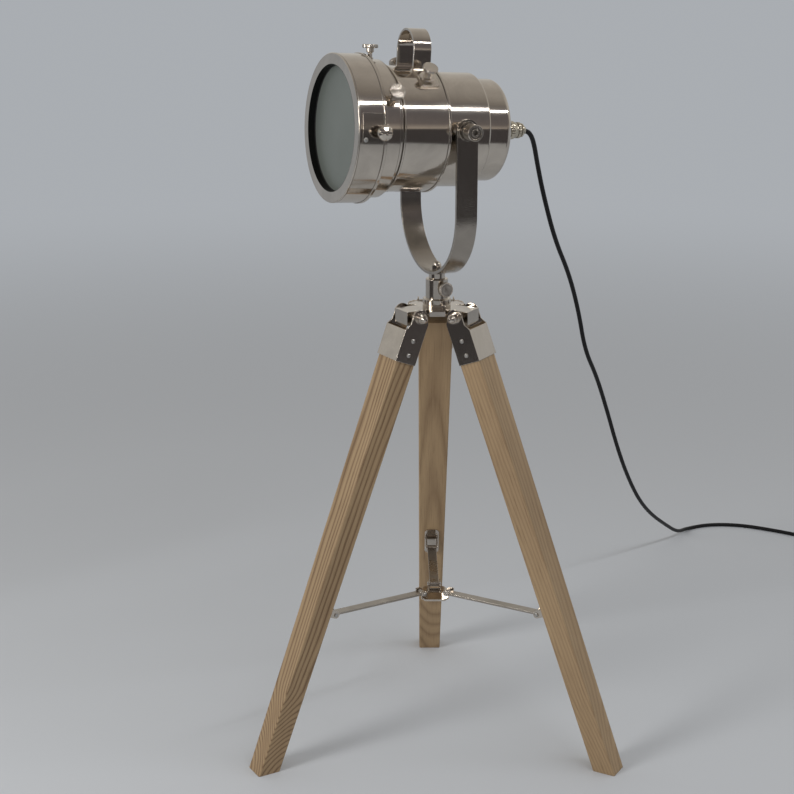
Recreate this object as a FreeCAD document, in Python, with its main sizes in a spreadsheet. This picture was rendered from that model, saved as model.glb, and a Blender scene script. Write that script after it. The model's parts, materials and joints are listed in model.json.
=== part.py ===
"""Tripod spotlight floor lamp: a spun searchlight head in a yoke on a folding wooden tripod.

Millimetres, +Z up.  The floor is Z = 0 and the origin is under the middle of the feet's
footprint.  The rear leg points to +Y and the head's nose to the left front.
"""
import FreeCAD, Part
import Sketcher
import math
import os
from FreeCAD import Placement, Rotation, Vector

os.makedirs("parts", exist_ok=True)
doc = FreeCAD.newDocument("tripod_spotlight")
sheet = doc.addObject("Spreadsheet::Sheet", "Sizes")


class Length:
    """A number together with the spreadsheet formula that gives it."""

    def __init__(self, number, formula):
        self.number = float(number)
        self.formula = formula

    def __float__(self):
        return self.number

    def __add__(self, other):
        other = as_length(other)
        return Length(self.number + other.number, f"({self.formula} + {other.formula})")

    def __sub__(self, other):
        other = as_length(other)
        return Length(self.number - other.number, f"({self.formula} - {other.formula})")

    def __mul__(self, other):
        other = as_length(other)
        return Length(self.number * other.number, f"({self.formula} * {other.formula})")

    def __truediv__(self, other):
        other = as_length(other)
        return Length(self.number / other.number, f"({self.formula} / {other.formula})")

    def __radd__(self, other):
        return as_length(other) + self

    def __rsub__(self, other):
        return as_length(other) - self

    def __neg__(self):
        return Length(-self.number, f"(-1 * {self.formula})")


def as_length(value):
    """A plain number as a Length, so that it can stand in a formula."""
    if isinstance(value, Length):
        return value
    return Length(value, repr(float(value)))


def size(name, value, note):
    """Write one driving dimension to the spreadsheet and return it as a Length."""
    row = size.rows = size.rows + 1
    sheet.set(f"A{row}", str(value))
    sheet.setAlias(f"A{row}", name)
    sheet.set(f"B{row}", note)
    return Length(value, f"Sizes.{name}")


size.rows = 0


# ---------------------------------------------------------------- driving dimensions
# Tripod
foot_circle = size("foot_circle", 294.5, "radius of the leg axes on the floor")
pivot_circle = size("pivot_circle", 43.3, "radius of the leg pivots")
leg_pivot_height = size("leg_pivot_height", 662.5, "height of the leg pivots")
leg_thick = size("leg_thick", 32.0, "leg section, radial")
leg_top_width = size("leg_top_width", 50.0, "leg section, sideways, in the cap")
leg_foot_width = size("leg_foot_width", 34.5, "leg section, sideways, at the foot")
leg_edge = size("leg_edge", 1.2, "eased edge of a leg")
# Leg caps, bent from plate
cap_plate = size("cap_plate", 2.0, "cap plate")
cap_start = size("cap_start", 22.3, "cap's outer face starts this far below the pivot")
cap_end = size("cap_end", 68.5, "cap ends this far below the pivot")
ear_radius = size("ear_radius", 12.0, "ear round the pivot bolt")
pivot_bolt = size("pivot_bolt", 4.0, "pivot bolt radius")
bolt_play = size("bolt_play", 0.05, "radial play of a bolt, pin or spigot in its hole")
screw_shank = size("screw_shank", 1.6, "wood screw radius")
screw_head = size("screw_head", 3.3, "wood screw head radius")
screw_dome = size("screw_dome", 1.8, "wood screw head height")
screw_length = size("screw_length", 14.0, "wood screw length under the plate")
screw_upper = size("screw_upper", 35.0, "upper cap screw, below the pivot")
screw_lower = size("screw_lower", 56.5, "lower cap screw, below the pivot")
seat_gap = size("seat_gap", 0.3, "gap between pieces that move past each other")
# Hub
hub_rise = size("hub_rise", 8.5, "top of the hub plate, above the leg pivots")
hub_top = leg_pivot_height + hub_rise
hub_plate = size("hub_plate", 7.0, "hub plate thickness")
lobe_reach = size("lobe_reach", 60.0, "radius of a lobe's outer face")
lobe_root = size("lobe_root", 29.0, "radius where a lug starts")
lobe_width = size("lobe_width", 34.0, "lobe width")
lug_depth = size("lug_depth", 20.0, "depth of a lug from the top of the plate")
tab_reach = size("tab_reach", 42.0, "radius of the flat between two lobes")
tab_width = size("tab_width", 23.0, "width of that flat")
lug_boss = size("lug_boss", 8.3, "radius of the lug's bearing boss")
bolt_head = size("bolt_head", 7.0, "pivot bolt's domed head, radius")
bolt_head_high = size("bolt_head_high", 14.0, "pivot bolt's domed head and its dome nut, height")
washer_thick = size("washer_thick", 1.2, "washer under bolt head and nut")
# Stem
collar_radius = size("collar_radius", 20.5, "stem collar")
collar_high = size("collar_high", 12.0, "stem collar height")
socket_floor = size("socket_floor", 4.0, "floor of the stem socket")
sleeve_radius = size("sleeve_radius", 16.3, "stem sleeve")
sleeve_rise = size("sleeve_rise", 41.0, "top of the stem sleeve, above the hub")
sleeve_top = hub_top + sleeve_rise
spigot_radius = size("spigot_radius", 10.0, "spigot that turns in the stem")
spigot_flange = size("spigot_flange", 11.8, "spigot's shoulder under the yoke")
stem_screw_rise = size("stem_screw_rise", 27.7, "stem's clamp screw, above the hub")
stem_screw_height = hub_top + stem_screw_rise
stem_screw_side = size("stem_screw_side", 300.0, "compass angle of the stem's clamp screw")
# Yoke
yoke_half = size("yoke_half", 92.0, "from the middle of the yoke to an arm's inner face")
yoke_plate = size("yoke_plate", 4.0, "yoke strap thickness")
yoke_width = size("yoke_width", 32.0, "yoke strap width")
yoke_rise = size("yoke_rise", 7.8, "underside of the yoke, above the stem sleeve")
yoke_bottom = sleeve_top + yoke_rise
head_pivot_rise = size("head_pivot_rise", 214.2, "the head's tilt axis, above the yoke's underside")
head_pivot_height = yoke_bottom + head_pivot_rise
yoke_nut_flats = size("yoke_nut_flats", 13.0, "dome nut across flats")
yoke_nut_high = size("yoke_nut_high", 7.0, "dome nut's hexagon, height")
# Head
head_turn = size("head_turn", 23.4, "head turned from -X towards -Y, degrees")
head_nose_up = size("head_nose_up", 3.3, "head tilted nose up, degrees")
pivot_above_axis = size("pivot_above_axis", 8.0, "tilt axis above the drum's axis")
sheet_wall = size("sheet_wall", 1.4, "spun metal wall")
front_drum_radius = size("front_drum_radius", 87.0, "front drum")
front_drum_start = size("front_drum_start", 20.0, "rear end of the front drum")
front_drum_end = size("front_drum_end", 101.0, "front end of the front drum's barrel")
mouth_radius = size("mouth_radius", 93.3, "flared mouth that carries the bezel")
mouth_end = size("mouth_end", 130.0, "front of the mouth")
rib_start = size("rib_start", 88.0, "rear of the drum's rib")
rib_width = size("rib_width", 3.0, "width of the drum's rib and rear rim")
rib_proud = size("rib_proud", 2.2, "height of the drum's rib")
rear_drum_radius = size("rear_drum_radius", 80.0, "rear drum")
rear_step = size("rear_step", 45.5, "step of the rear drum, behind the tilt axis")
tail_radius = size("tail_radius", 72.0, "tail of the rear drum")
tail_end = size("tail_end", 82.8, "rear face, behind the tilt axis")
tail_round = size("tail_round", 9.0, "rounded rear corner")
shoulder_round = size("shoulder_round", 4.0, "rounded shoulder of the rear drum")
vent_radius = size("vent_radius", 4.0, "half width of a vent slot in the underside")
vent_long = size("vent_long", 18.0, "vent slot, between its end centres")
vent_pitch = size("vent_pitch", 31.0, "vent slot spacing")
vent_station = size("vent_station", 34.0, "rear end centre of the rear vent slot")
vent_angle = size("vent_angle", 168.0, "vent slots, degrees from the top")
# Bezel
bezel_radius = size("bezel_radius", 102.1, "bezel")
bezel_front = size("bezel_front", 162.7, "front face of the bezel")
bezel_opening = size("bezel_opening", 86.5, "radius of the glass opening")
bezel_step = size("bezel_step", 121.5, "rear lip of the bezel's wide band")
bezel_rear = size("bezel_rear", 98.5, "rear edge of the bezel's narrow band")
band_radius = size("band_radius", 95.0, "bezel's narrow band")
lip_proud = size("lip_proud", 1.1, "rolled lip above the bezel")
lip_width = size("lip_width", 3.5, "width of the rolled lip")
inner_flange = size("inner_flange", 9.7, "depth of the bezel's inner flange")
glass_thick = size("glass_thick", 3.0, "glass")
gasket_thick = size("gasket_thick", 1.5, "gasket")
retainer_thick = size("retainer_thick", 2.0, "ring that holds the glass")
# Clamp screws
knob_radius = size("knob_radius", 11.0, "clamp screw disc")
knob_thick = size("knob_thick", 5.0, "clamp screw disc thickness")
knob_neck = size("knob_neck", 3.2, "clamp screw neck radius")
knob_boss = size("knob_boss", 5.4, "boss under the disc, radius")
knob_edge = size("knob_edge", 0.8, "eased edge of a disc")
knob_rise = size("knob_rise", 14.5, "disc's underside above its seat")
knob_shank = size("knob_shank", 2.0, "clamp screw thread radius")
band_screw_station = size("band_screw_station", 107.0, "bezel clamp screws, ahead of the tilt axis")
top_screw_angle = size("top_screw_angle", -3.0, "bezel's top clamp screw, degrees from the top")
side_screw_angle = size("side_screw_angle", 58.0, "bezel's side clamp screws, degrees from the top")
catch_station = size("catch_station", 142.0, "middle of the bezel's catch plate")
catch_length = size("catch_length", 30.0, "catch plate, along the head")
catch_angle = size("catch_angle", 84.0, "catch plate, degrees from the top")
catch_spread = size("catch_spread", 23.0, "catch plate, degrees round the bezel")
catch_thick = size("catch_thick", 1.2, "catch plate thickness")
dome_radius = size("dome_radius", 11.0, "slotted screw's domed head")
dome_high = size("dome_high", 9.0, "slotted screw's head height")
dome_rise = size("dome_rise", 12.0, "slotted screw's head, above its seat")
dome_slot = size("dome_slot", 2.4, "slotted screw's slot")
dome_station = size("dome_station", 131.5, "slotted screw")
dome_angle = size("dome_angle", 86.5, "slotted screw, degrees from the top")
# Handle
handle_station = size("handle_station", 43.5, "middle of the carry handle")
handle_width = size("handle_width", 26.0, "carry handle strap width")
handle_plate = size("handle_plate", 3.0, "carry handle strap thickness")
handle_half = size("handle_half", 29.5, "outer half width of the handle's loop")
handle_top = size("handle_top", 138.5, "top of the handle above the drum's axis")
handle_foot_end = size("handle_foot_end", 43.0, "end of the handle's foot, degrees from the top")
handle_screw_angle = size("handle_screw_angle", 33.0, "handle clamp screws, degrees from the top")
handle_neck = size("handle_neck", 4.6, "neck radius of the handle's clamp screws")
handle_washer = size("handle_washer", 11.0, "washer on the handle's foot, radius")
# Tilt knobs
tilt_boss = size("tilt_boss", 12.0, "boss on the rear drum")
tilt_screw = size("tilt_screw", 5.0, "tilt knob's thread radius")
tilt_knob_radius = size("tilt_knob_radius", 11.5, "tilt knob")
tilt_knob_long = size("tilt_knob_long", 25.0, "tilt knob length")
tilt_socket = size("tilt_socket", 3.0, "socket in a tilt knob's end, radius")
# Lamp inside
holder_radius = size("holder_radius", 19.0, "lampholder")
holder_start = size("holder_start", -62.0, "rear of the lampholder")
holder_end = size("holder_end", -17.0, "front of the lampholder")
holder_depth = size("holder_depth", 25.0, "depth of the lampholder's socket")
bulb_radius = size("bulb_radius", 30.0, "bulb")
bulb_centre = size("bulb_centre", 40.0, "middle of the bulb's globe")
bulb_neck = size("bulb_neck", 34.0, "end of the bulb's neck, behind the globe's middle")
cap_radius = size("cap_radius", 13.2, "bulb's screw cap")
reflector_focus = size("reflector_focus", 17.0, "focal length of the reflector")
reflector_rim = size("reflector_rim", 84.0, "rim radius of the reflector")
reflector_front = size("reflector_front", 96.0, "front of the reflector")
# Cable gland and cord
gland_flats = size("gland_flats", 27.0, "cable gland across flats")
gland_tube = size("gland_tube", 10.0, "cable gland tube radius")
gland_end = size("gland_end", 124.0, "mouth of the gland nut, behind the tilt axis")
cord_radius = size("cord_radius", 3.5, "power cord")
bore_play = size("bore_play", 0.1, "radial play of the cord in the gland")
# Spreader
spreader_height = size("spreader_height", 225.0, "height of the spreader's pins")
spreader_reach = size("spreader_reach", 176.0, "radius of the pins on the legs")
spreader_hub_circle = size("spreader_hub_circle", 23.0, "radius of the pins on the spreader hub")
arm_width = size("arm_width", 14.0, "spreader arm width")
arm_thick = size("arm_thick", 3.0, "spreader arm thickness")
barrel_radius = size("barrel_radius", 4.0, "rolled end of a spreader arm")
pin_radius = size("pin_radius", 2.0, "spreader pin")
clevis_play = size("clevis_play", 0.4, "side play of an arm between its ears")
clevis_plate = size("clevis_plate", 2.0, "spreader ears and bracket plate")
bracket_width = size("bracket_width", 23.0, "leg bracket plate width")
bracket_above = size("bracket_above", 27.0, "leg bracket, above its pin")
bracket_below = size("bracket_below", 23.0, "leg bracket, below its pin")
bracket_screw_side = size("bracket_screw_side", 7.5, "leg bracket's screws, off its middle")
bracket_screw_up = size("bracket_screw_up", 6.0, "leg bracket's screws, above its lower end")
spreader_plate = size("spreader_plate", 3.0, "spreader hub plate")
spreader_slot = size("spreader_slot", 18.5, "radius where the arms' slots start")
spreader_flats = size("spreader_flats", 26.0, "spreader hub, from its middle to a flat")
# Mains plug and coil
coil_radius = size("coil_radius", 44.0, "outer turn of the put-away coil")
coil_pitch = size("coil_pitch", 7.6, "spacing of the coil's turns")
coil_turns = size("coil_turns", 3.0, "turns of the coil")
plug_radius = size("plug_radius", 18.0, "mains plug")
plug_run = size("plug_run", 62.0, "the cord's run from the coil to the plug")
doc.recompute()

# ---------------------------------------------------------------- frames
LEAN = math.atan2(float(foot_circle - pivot_circle), float(leg_pivot_height))
LEGS = {"left": 210.0, "right": 330.0, "rear": 90.0}


def footprint_offset():
    """How far the tripod's axis stands off the middle of the feet's footprint, along Y."""
    sole_reach = float(foot_circle) + float(leg_thick) / 2 / math.cos(LEAN)
    half_width = float(leg_foot_width) / 2
    front = sole_reach * math.sin(math.radians(30)) + half_width * math.cos(math.radians(30))
    return (sole_reach - front) / 2


AXIS = Vector(0, -footprint_offset(), 0)
Z_AXIS = Vector(0, 0, 1)
Y_AXIS = Vector(0, 1, 0)
X_AXIS = Vector(1, 0, 0)


def turn(axis, degrees):
    return Placement(Vector(0, 0, 0), Rotation(axis, degrees))


def shift(x=0.0, y=0.0, z=0.0):
    return Placement(Vector(float(x), float(y), float(z)), Rotation())


TRIPOD = Placement(AXIS, Rotation())
YOKE = TRIPOD * turn(Z_AXIS, 180 + float(head_turn))
HEAD = YOKE * shift(z=head_pivot_height) * turn(Y_AXIS, -float(head_nose_up))
HEAD = HEAD * shift(z=-pivot_above_axis)


def leg_frame(side):
    """Origin at the leg's pivot, local Z up along the leg, local X to its outer face."""
    out = TRIPOD * turn(Z_AXIS, LEGS[side]) * shift(x=pivot_circle, z=leg_pivot_height)
    return out * turn(Y_AXIS, -math.degrees(LEAN))


def on_drum(station, degrees, radius):
    """A frame on the head whose X points out of the drum at an angle from the top."""
    out = HEAD * shift(x=station) * turn(X_AXIS, -float(degrees))
    return out * shift(z=radius) * turn(Y_AXIS, -90)


# ---------------------------------------------------------------- modelling helpers
nodes = []


def keep(label, item, placement=None):
    """Name a finished sub-part and put it in its place."""
    item.Label = label
    if placement is not None:
        item.Placement = placement
    nodes.append(item)
    return item


def bind(item, **properties):
    """Tie properties of an object to the spreadsheet."""
    for name, value in properties.items():
        setattr(item, name, float(value))
        if isinstance(value, Length):
            item.setExpression(name, value.formula)


def sketch_outline(body, name, role, outline):
    """A closed sketch whose every corner is tied to the spreadsheet."""
    plane = [item for item in body.Origin.OriginFeatures if item.Role == role][0]
    sketch = body.newObject("Sketcher::SketchObject", name)
    sketch.AttachmentSupport = [(plane, "")]
    sketch.MapMode = "FlatFace"
    corners = [(as_length(x), as_length(y)) for x, y in outline]
    count = len(corners)
    for index in range(count):
        start = Vector(float(corners[index][0]), float(corners[index][1]), 0)
        following = corners[(index + 1) % count]
        end = Vector(float(following[0]), float(following[1]), 0)
        sketch.addGeometry(Part.LineSegment(start, end), False)
    for index in range(count):
        sketch.addConstraint(Sketcher.Constraint("Coincident", index, 2, (index + 1) % count, 1))
    for index, corner in enumerate(corners):
        for kind, value in zip(("DistanceX", "DistanceY"), corner):
            number = sketch.addConstraint(
                Sketcher.Constraint(kind, -1, 1, index, 1, float(value)))
            sketch.setExpression(f"Constraints[{number}]", value.formula)
    return sketch


def turned(name, outline, axis="H_Axis"):
    """A body turned about the sketch's H axis (local X) or V axis (local Z)."""
    body = doc.addObject("PartDesign::Body", name)
    sketch = sketch_outline(body, name + "_outline", "XZ_Plane", outline)
    doc.recompute()
    revolution = body.newObject("PartDesign::Revolution", name + "_turned")
    revolution.Profile = sketch
    revolution.ReferenceAxis = (sketch, [axis])
    revolution.Angle = 360
    doc.recompute()
    return body


def plate(name, outline, thickness, role="XZ_Plane"):
    """A body padded both ways from the middle of an outline."""
    body = doc.addObject("PartDesign::Body", name)
    sketch = sketch_outline(body, name + "_outline", role, outline)
    pad = body.newObject("PartDesign::Pad", name + "_pad")
    pad.Profile = sketch
    pad.SideType = "Symmetric"
    bind(pad, Length=thickness)
    doc.recompute()
    return body


def dress(body, kind, radius, wanted):
    """Round or chamfer the edges of a body that a test picks out."""
    base = body.Tip
    edges = [f"Edge{number + 1}" for number, edge in enumerate(base.Shape.Edges) if wanted(edge)]
    feature = body.newObject(f"PartDesign::{kind}", f"{body.Name}_{kind.lower()}")
    feature.Base = (base, edges)
    if kind == "Fillet":
        bind(feature, Radius=radius)
    else:
        bind(feature, Size=radius)
    doc.recompute()
    return body


def ring_edge(station, radius):
    """Test for a circular edge about local X at a station and radius."""
    def wanted(edge):
        circle = edge.Curve
        if not isinstance(circle, Part.Circle):
            return False
        near = abs(circle.Center.x - float(station)) < 0.01
        return near and abs(circle.Radius - float(radius)) < 0.01
    return wanted


def primitive(kind, name, at, axis="Z", **properties):
    """A bound Part primitive whose local Z lies along X, Y or Z."""
    item = doc.addObject(f"Part::{kind}", name)
    bind(item, **properties)
    turns = {"Z": Rotation(), "X": Rotation(Y_AXIS, 90), "Y": Rotation(X_AXIS, -90)}
    item.Placement = Placement(Vector(*[float(value) for value in at]), turns[axis])
    for letter, value in zip("xyz", at):
        if isinstance(value, Length):
            item.setExpression(f"Placement.Base.{letter}", value.formula)
    return item


def cylinder(name, radius, height, at=(0, 0, 0), axis="Z"):
    return primitive("Cylinder", name, at, axis, Radius=radius, Height=height)


def box(name, length, width, height, at):
    return primitive("Box", name, at, "Z", Length=length, Width=width, Height=height)


def prism(name, flats, height, at=(0, 0, 0), axis="Z"):
    """A hexagonal bar, sized across its flats."""
    item = primitive("Prism", name, at, axis, Circumradius=flats / math.sqrt(3), Height=height)
    item.Polygon = 6
    return item


def cut(name, base, *tools):
    item = doc.addObject("Part::Cut", name)
    item.Base = base
    item.Tool = tools[0] if len(tools) == 1 else fuse(name + "_tools", *tools)
    doc.recompute()
    return item


def fuse(name, *items):
    item = doc.addObject("Part::MultiFuse", name)
    item.Shapes = list(items)
    doc.recompute()
    return item


def placed(name, item, placement):
    """One object carried to another place, its own ties kept."""
    holder = doc.addObject("Part::Compound", name)
    holder.Links = [item]
    holder.Placement = placement
    return holder


def common(name, *items):
    item = doc.addObject("Part::MultiCommon", name)
    item.Shapes = list(items)
    doc.recompute()
    return item


def feature(name, shape):
    item = doc.addObject("Part::Feature", name)
    item.Shape = shape
    return item


def repeated(name, source, placements):
    """Copies of one object's shape, each in its own place."""
    copies = []
    for place in placements:
        shape = source.Shape.copy()
        shape.Placement = place * shape.Placement
        copies.append(shape)
    return feature(name, Part.makeCompound(copies))


def round_sector(name, outer, inner, width, start, end, station):
    """A strip bent round the drum between two angles from the top, about local X."""
    spin = Rotation(X_AXIS, 180 - float(end)) * Rotation(Y_AXIS, 90)
    place = Placement(Vector(float(station - width / 2), 0, 0), spin)
    wedge = cylinder(name + "_outer", outer, width)
    wedge.Angle = abs(float(end) - float(start))
    wedge.Placement = place
    core = cylinder(name + "_inner", inner, width)
    core.Placement = place
    return cut(name, wedge, core)


# ---------------------------------------------------------------- tripod legs
half_thick = leg_thick / 2
cos_lean = math.cos(LEAN)
tan_lean = math.tan(LEAN)
leg_length = leg_pivot_height / cos_lean
pin_offset_r = spreader_reach - pivot_circle
pin_drop = leg_pivot_height - spreader_height
pin_x = pin_offset_r * cos_lean - pin_drop * math.sin(LEAN)
pin_z = -(pin_offset_r * math.sin(LEAN) + pin_drop * cos_lean)


def straight_edge_along(direction):
    """Test for a straight edge that runs along a direction."""
    def wanted(edge):
        if not isinstance(edge.Curve, Part.Line):
            return False
        return abs(edge.Curve.Direction.dot(direction)) > 0.9
    return wanted


def wood_screw(name):
    """A round-head wood screw along local X, its head's seat at the origin."""
    outline = [(-screw_length, 0), (-screw_length, screw_shank / 2), (-screw_length * 0.8, screw_shank),
               (0, screw_shank), (0, screw_head), (screw_dome / 2, screw_head * 0.9),
               (screw_dome, screw_head * 0.5), (screw_dome, 0)]
    return turned(name, outline)


screw_master = wood_screw("wood_screw")


def leg_screw_places():
    """Frames of a leg's screws in its own frame: four in the cap, two in the bracket."""
    cap_face = leg_top_width / 2 + cap_plate
    places = []
    for depth in (screw_upper, screw_lower):
        for hand in (1, -1):
            places.append(shift(y=cap_face * hand, z=-depth) * turn(Z_AXIS, 90 * hand))
    bracket_face = -(half_thick + clevis_plate)
    for hand in (1, -1):
        spot = shift(x=bracket_face, y=bracket_screw_side * hand,
                     z=pin_z - bracket_below + bracket_screw_up)
        places.append(spot * turn(Z_AXIS, 180))
    return places


def leg_wood(side):
    """One solid tapered board, cut level at the foot."""
    name = f"leg_{side}"
    sole_out = -(leg_length + half_thick * tan_lean)
    sole_in = -(leg_length - half_thick * tan_lean)
    profile = [(-half_thick, -cap_start), (half_thick, -cap_start),
               (half_thick, sole_out), (-half_thick, sole_in)]
    board = plate(name + "_profile", profile, leg_top_width)
    half_top = leg_top_width / 2
    half_foot = leg_foot_width / 2
    taper = [(-half_top, -cap_start), (half_top, -cap_start), (half_top, -cap_end),
             (half_foot, sole_out), (-half_foot, sole_out), (-half_top, -cap_end)]
    face = plate(name + "_taper", taper, leg_thick * 1.2, "YZ_Plane")
    solid = common(name + "_board", board, face)
    eased = doc.addObject("Part::Chamfer", name + "_eased")
    eased.Base = solid
    long_edge = straight_edge_along(Z_AXIS)
    eased.Edges = [(number + 1, float(leg_edge), float(leg_edge))
                   for number, edge in enumerate(solid.Shape.Edges)
                   if long_edge(edge) and edge.Length > float(leg_length) / 2]
    doc.recompute()
    holes = []
    for number, place in enumerate(leg_screw_places()):
        hole = cylinder(f"{name}_pilot_{number}", screw_shank, screw_length + 1)
        hole.Placement = place * turn(Y_AXIS, -90)
        holes.append(hole)
    return keep(name, cut(name + "_drilled", eased, *holes), leg_frame(side))


def leg_cap(side):
    """A cap bent from plate: an outer face and two sides that rise as ears."""
    name = f"leg_cap_{side}"
    inner = leg_top_width / 2
    outer_x = half_thick + cap_plate
    side_outline = [(-half_thick, -cap_end), (outer_x, -cap_end), (outer_x, -cap_start),
                    (ear_radius, -cap_start * 0.62), (ear_radius, ear_radius),
                    (-ear_radius, ear_radius), (-ear_radius, 0), (-half_thick, -ear_radius * 0.5)]
    sides = []
    for hand in (1, -1):
        ear = plate(f"{name}_side_{'ab'[hand < 0]}", side_outline, cap_plate)

        def ear_top(edge):
            line = straight_edge_along(Y_AXIS)(edge)
            return line and abs(edge.Vertexes[0].Z - float(ear_radius)) < 0.01
        dress(ear, "Fillet", ear_radius * 0.97, ear_top)
        ear.Placement = shift(y=(inner + cap_plate / 2) * hand)
        sides.append(ear)
    face = box(name + "_face", cap_plate, leg_top_width + cap_plate, cap_end - cap_start,
               (half_thick, -(inner + cap_plate / 2), -cap_end))
    holes = [cylinder(name + "_pivot_hole", pivot_bolt + bolt_play, leg_top_width * 2,
                      (0, -leg_top_width, 0), "Y")]
    for number, depth in enumerate((screw_upper, screw_lower)):
        holes.append(cylinder(f"{name}_hole_{number}", screw_shank, leg_top_width * 2,
                              (0, -leg_top_width, -depth), "Y"))
    whole = fuse(name + "_bent", face, *sides)
    return keep(name, cut(name + "_drilled", whole, *holes), leg_frame(side))


def clevis_ear(name, reach, low, high):
    """One ear in the XZ plane, its pin hole's place at the origin, its free end rounded."""
    tip = barrel_radius + 1.5
    outline = [(-tip, low), (reach, low), (reach, high), (-tip, high)]
    ear = plate(name, outline, clevis_plate)

    def free_end(edge):
        line = straight_edge_along(Y_AXIS)(edge)
        return line and abs(edge.Vertexes[0].X + float(tip)) < 0.01
    return dress(ear, "Fillet", tip * 0.95, free_end)


def leg_bracket(side):
    """The plate and clevis on a leg's inner face that carries a spreader arm."""
    name = f"leg_bracket_{side}"
    stand = -(pin_x + half_thick)
    base = box(name + "_plate", clevis_plate, bracket_width, bracket_above + bracket_below,
               (-(half_thick + clevis_plate), -(bracket_width / 2), pin_z - bracket_below))
    eased = doc.addObject("Part::Fillet", name + "_eased")
    eased.Base = base
    doc.recompute()
    corner = straight_edge_along(X_AXIS)
    eased.Edges = [(number + 1, float(bracket_width) * 0.3, float(bracket_width) * 0.3)
                   for number, edge in enumerate(base.Shape.Edges) if corner(edge)]
    doc.recompute()
    ear_side = arm_width / 2 + clevis_play + clevis_plate / 2
    tip = barrel_radius + 1.5
    ears = []
    for hand in (1, -1):
        ear = clevis_ear(f"{name}_ear_{'ab'[hand < 0]}", stand - clevis_plate / 2, -tip, tip)
        ear.Placement = shift(x=pin_x, y=ear_side * hand, z=pin_z)
        ears.append(ear)
    holes = [cylinder(name + "_pin_hole", pin_radius + bolt_play, bracket_width * 2,
                      (pin_x, -bracket_width, pin_z), "Y")]
    for hand in (1, -1):
        holes.append(cylinder(f"{name}_hole_{'ab'[hand < 0]}", screw_shank, leg_thick,
                              (-leg_thick, bracket_screw_side * hand,
                               pin_z - bracket_below + bracket_screw_up), "X"))
    whole = fuse(name + "_bent", eased, *ears)
    return keep(name, cut(name + "_drilled", whole, *holes), leg_frame(side))


def pin_with_heads(name, half_span):
    """A riveted pin along local Y with a low head at each end."""
    shaft = cylinder(name + "_shaft", pin_radius, half_span * 2, (0, -half_span, 0), "Y")
    heads = []
    for hand in (1, -1):
        head = primitive("Cone", f"{name}_head_{'ab'[hand < 0]}", (0, 0, 0), "Z",
                         Radius1=pin_radius * 1.8, Radius2=pin_radius * 1.2, Height=pin_radius * 0.7)
        head.Placement = shift(y=half_span * hand) * turn(X_AXIS, -90 * hand)
        heads.append(head)
    return fuse(name, shaft, *heads)


arm_ear_outer = arm_width / 2 + clevis_play + clevis_plate
for side in LEGS:
    leg_wood(side)
    leg_cap(side)
    leg_bracket(side)
    frame = leg_frame(side)
    screw_places = [frame * place for place in leg_screw_places()]
    keep(f"leg_screws_{side}", repeated(f"leg_screws_{side}", screw_master, screw_places))
    keep(f"leg_pin_{side}", pin_with_heads(f"leg_pin_{side}", arm_ear_outer),
         frame * shift(x=pin_x, z=pin_z))

# ---------------------------------------------------------------- hub and stem
def hub():
    """The cast hub: a star plate with three lugs between the legs' ears."""
    pieces = []
    cutters = []
    for number, degrees in enumerate(LEGS.values()):
        lobe = box(f"hub_lobe_{number}", lobe_reach, lobe_width, hub_plate,
                   (0, -(lobe_width / 2), hub_top - hub_plate))
        lug = box(f"hub_lug_{number}", lobe_reach - lobe_root, lobe_width, lug_depth,
                  (lobe_root, -(lobe_width / 2), hub_top - lug_depth))
        half_boss = leg_top_width / 2 - seat_gap
        boss = cylinder(f"hub_boss_{number}", lug_boss, half_boss * 2,
                        (pivot_circle, -half_boss, leg_pivot_height), "Y")
        arm = fuse(f"hub_arm_{number}", lobe, lug, boss)
        arm.Placement = turn(Z_AXIS, degrees)
        tab = box(f"hub_tab_{number}", tab_reach, tab_width, hub_plate,
                  (0, -(tab_width / 2), hub_top - hub_plate))
        tab = placed(f"hub_tab_placed_{number}", tab, turn(Z_AXIS, degrees + 60))
        bore = cylinder(f"hub_bore_{number}", pivot_bolt, leg_top_width * 2,
                        (pivot_circle, -leg_top_width, leg_pivot_height), "Y")
        pieces += [arm, tab]
        cutters.append(placed(f"hub_bore_placed_{number}", bore, turn(Z_AXIS, degrees)))
    return keep("tripod_hub", cut("hub_bored", fuse("hub_star", *pieces), *cutters), TRIPOD)


hub()


def stem():
    """The turned stem socket that stands on the hub and takes the yoke's spigot."""
    collar_top = hub_top + collar_high
    groove = hub_top + collar_high * 0.3
    outline = [(spigot_radius + bolt_play, hub_top + socket_floor), (0, hub_top + socket_floor), (0, hub_top),
               (collar_radius, hub_top), (collar_radius, groove - 0.7),
               (collar_radius - 0.9, groove), (collar_radius, groove + 0.7),
               (collar_radius, collar_top - 1), (collar_radius - 1, collar_top),
               (sleeve_radius, collar_top), (sleeve_radius, sleeve_top - 1),
               (sleeve_radius - 1, sleeve_top), (spigot_radius + bolt_play, sleeve_top)]
    body = turned("stem_turned", outline, "V_Axis")
    hole = cylinder("stem_screw_hole", knob_shank + bolt_play, sleeve_radius,
                    (spigot_radius - 1, 0, stem_screw_height), "X")
    drill = placed("stem_screw_drill", hole, turn(Z_AXIS, float(stem_screw_side)))
    return keep("stem_socket", cut("stem_drilled", body, drill), TRIPOD)


stem()

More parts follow.
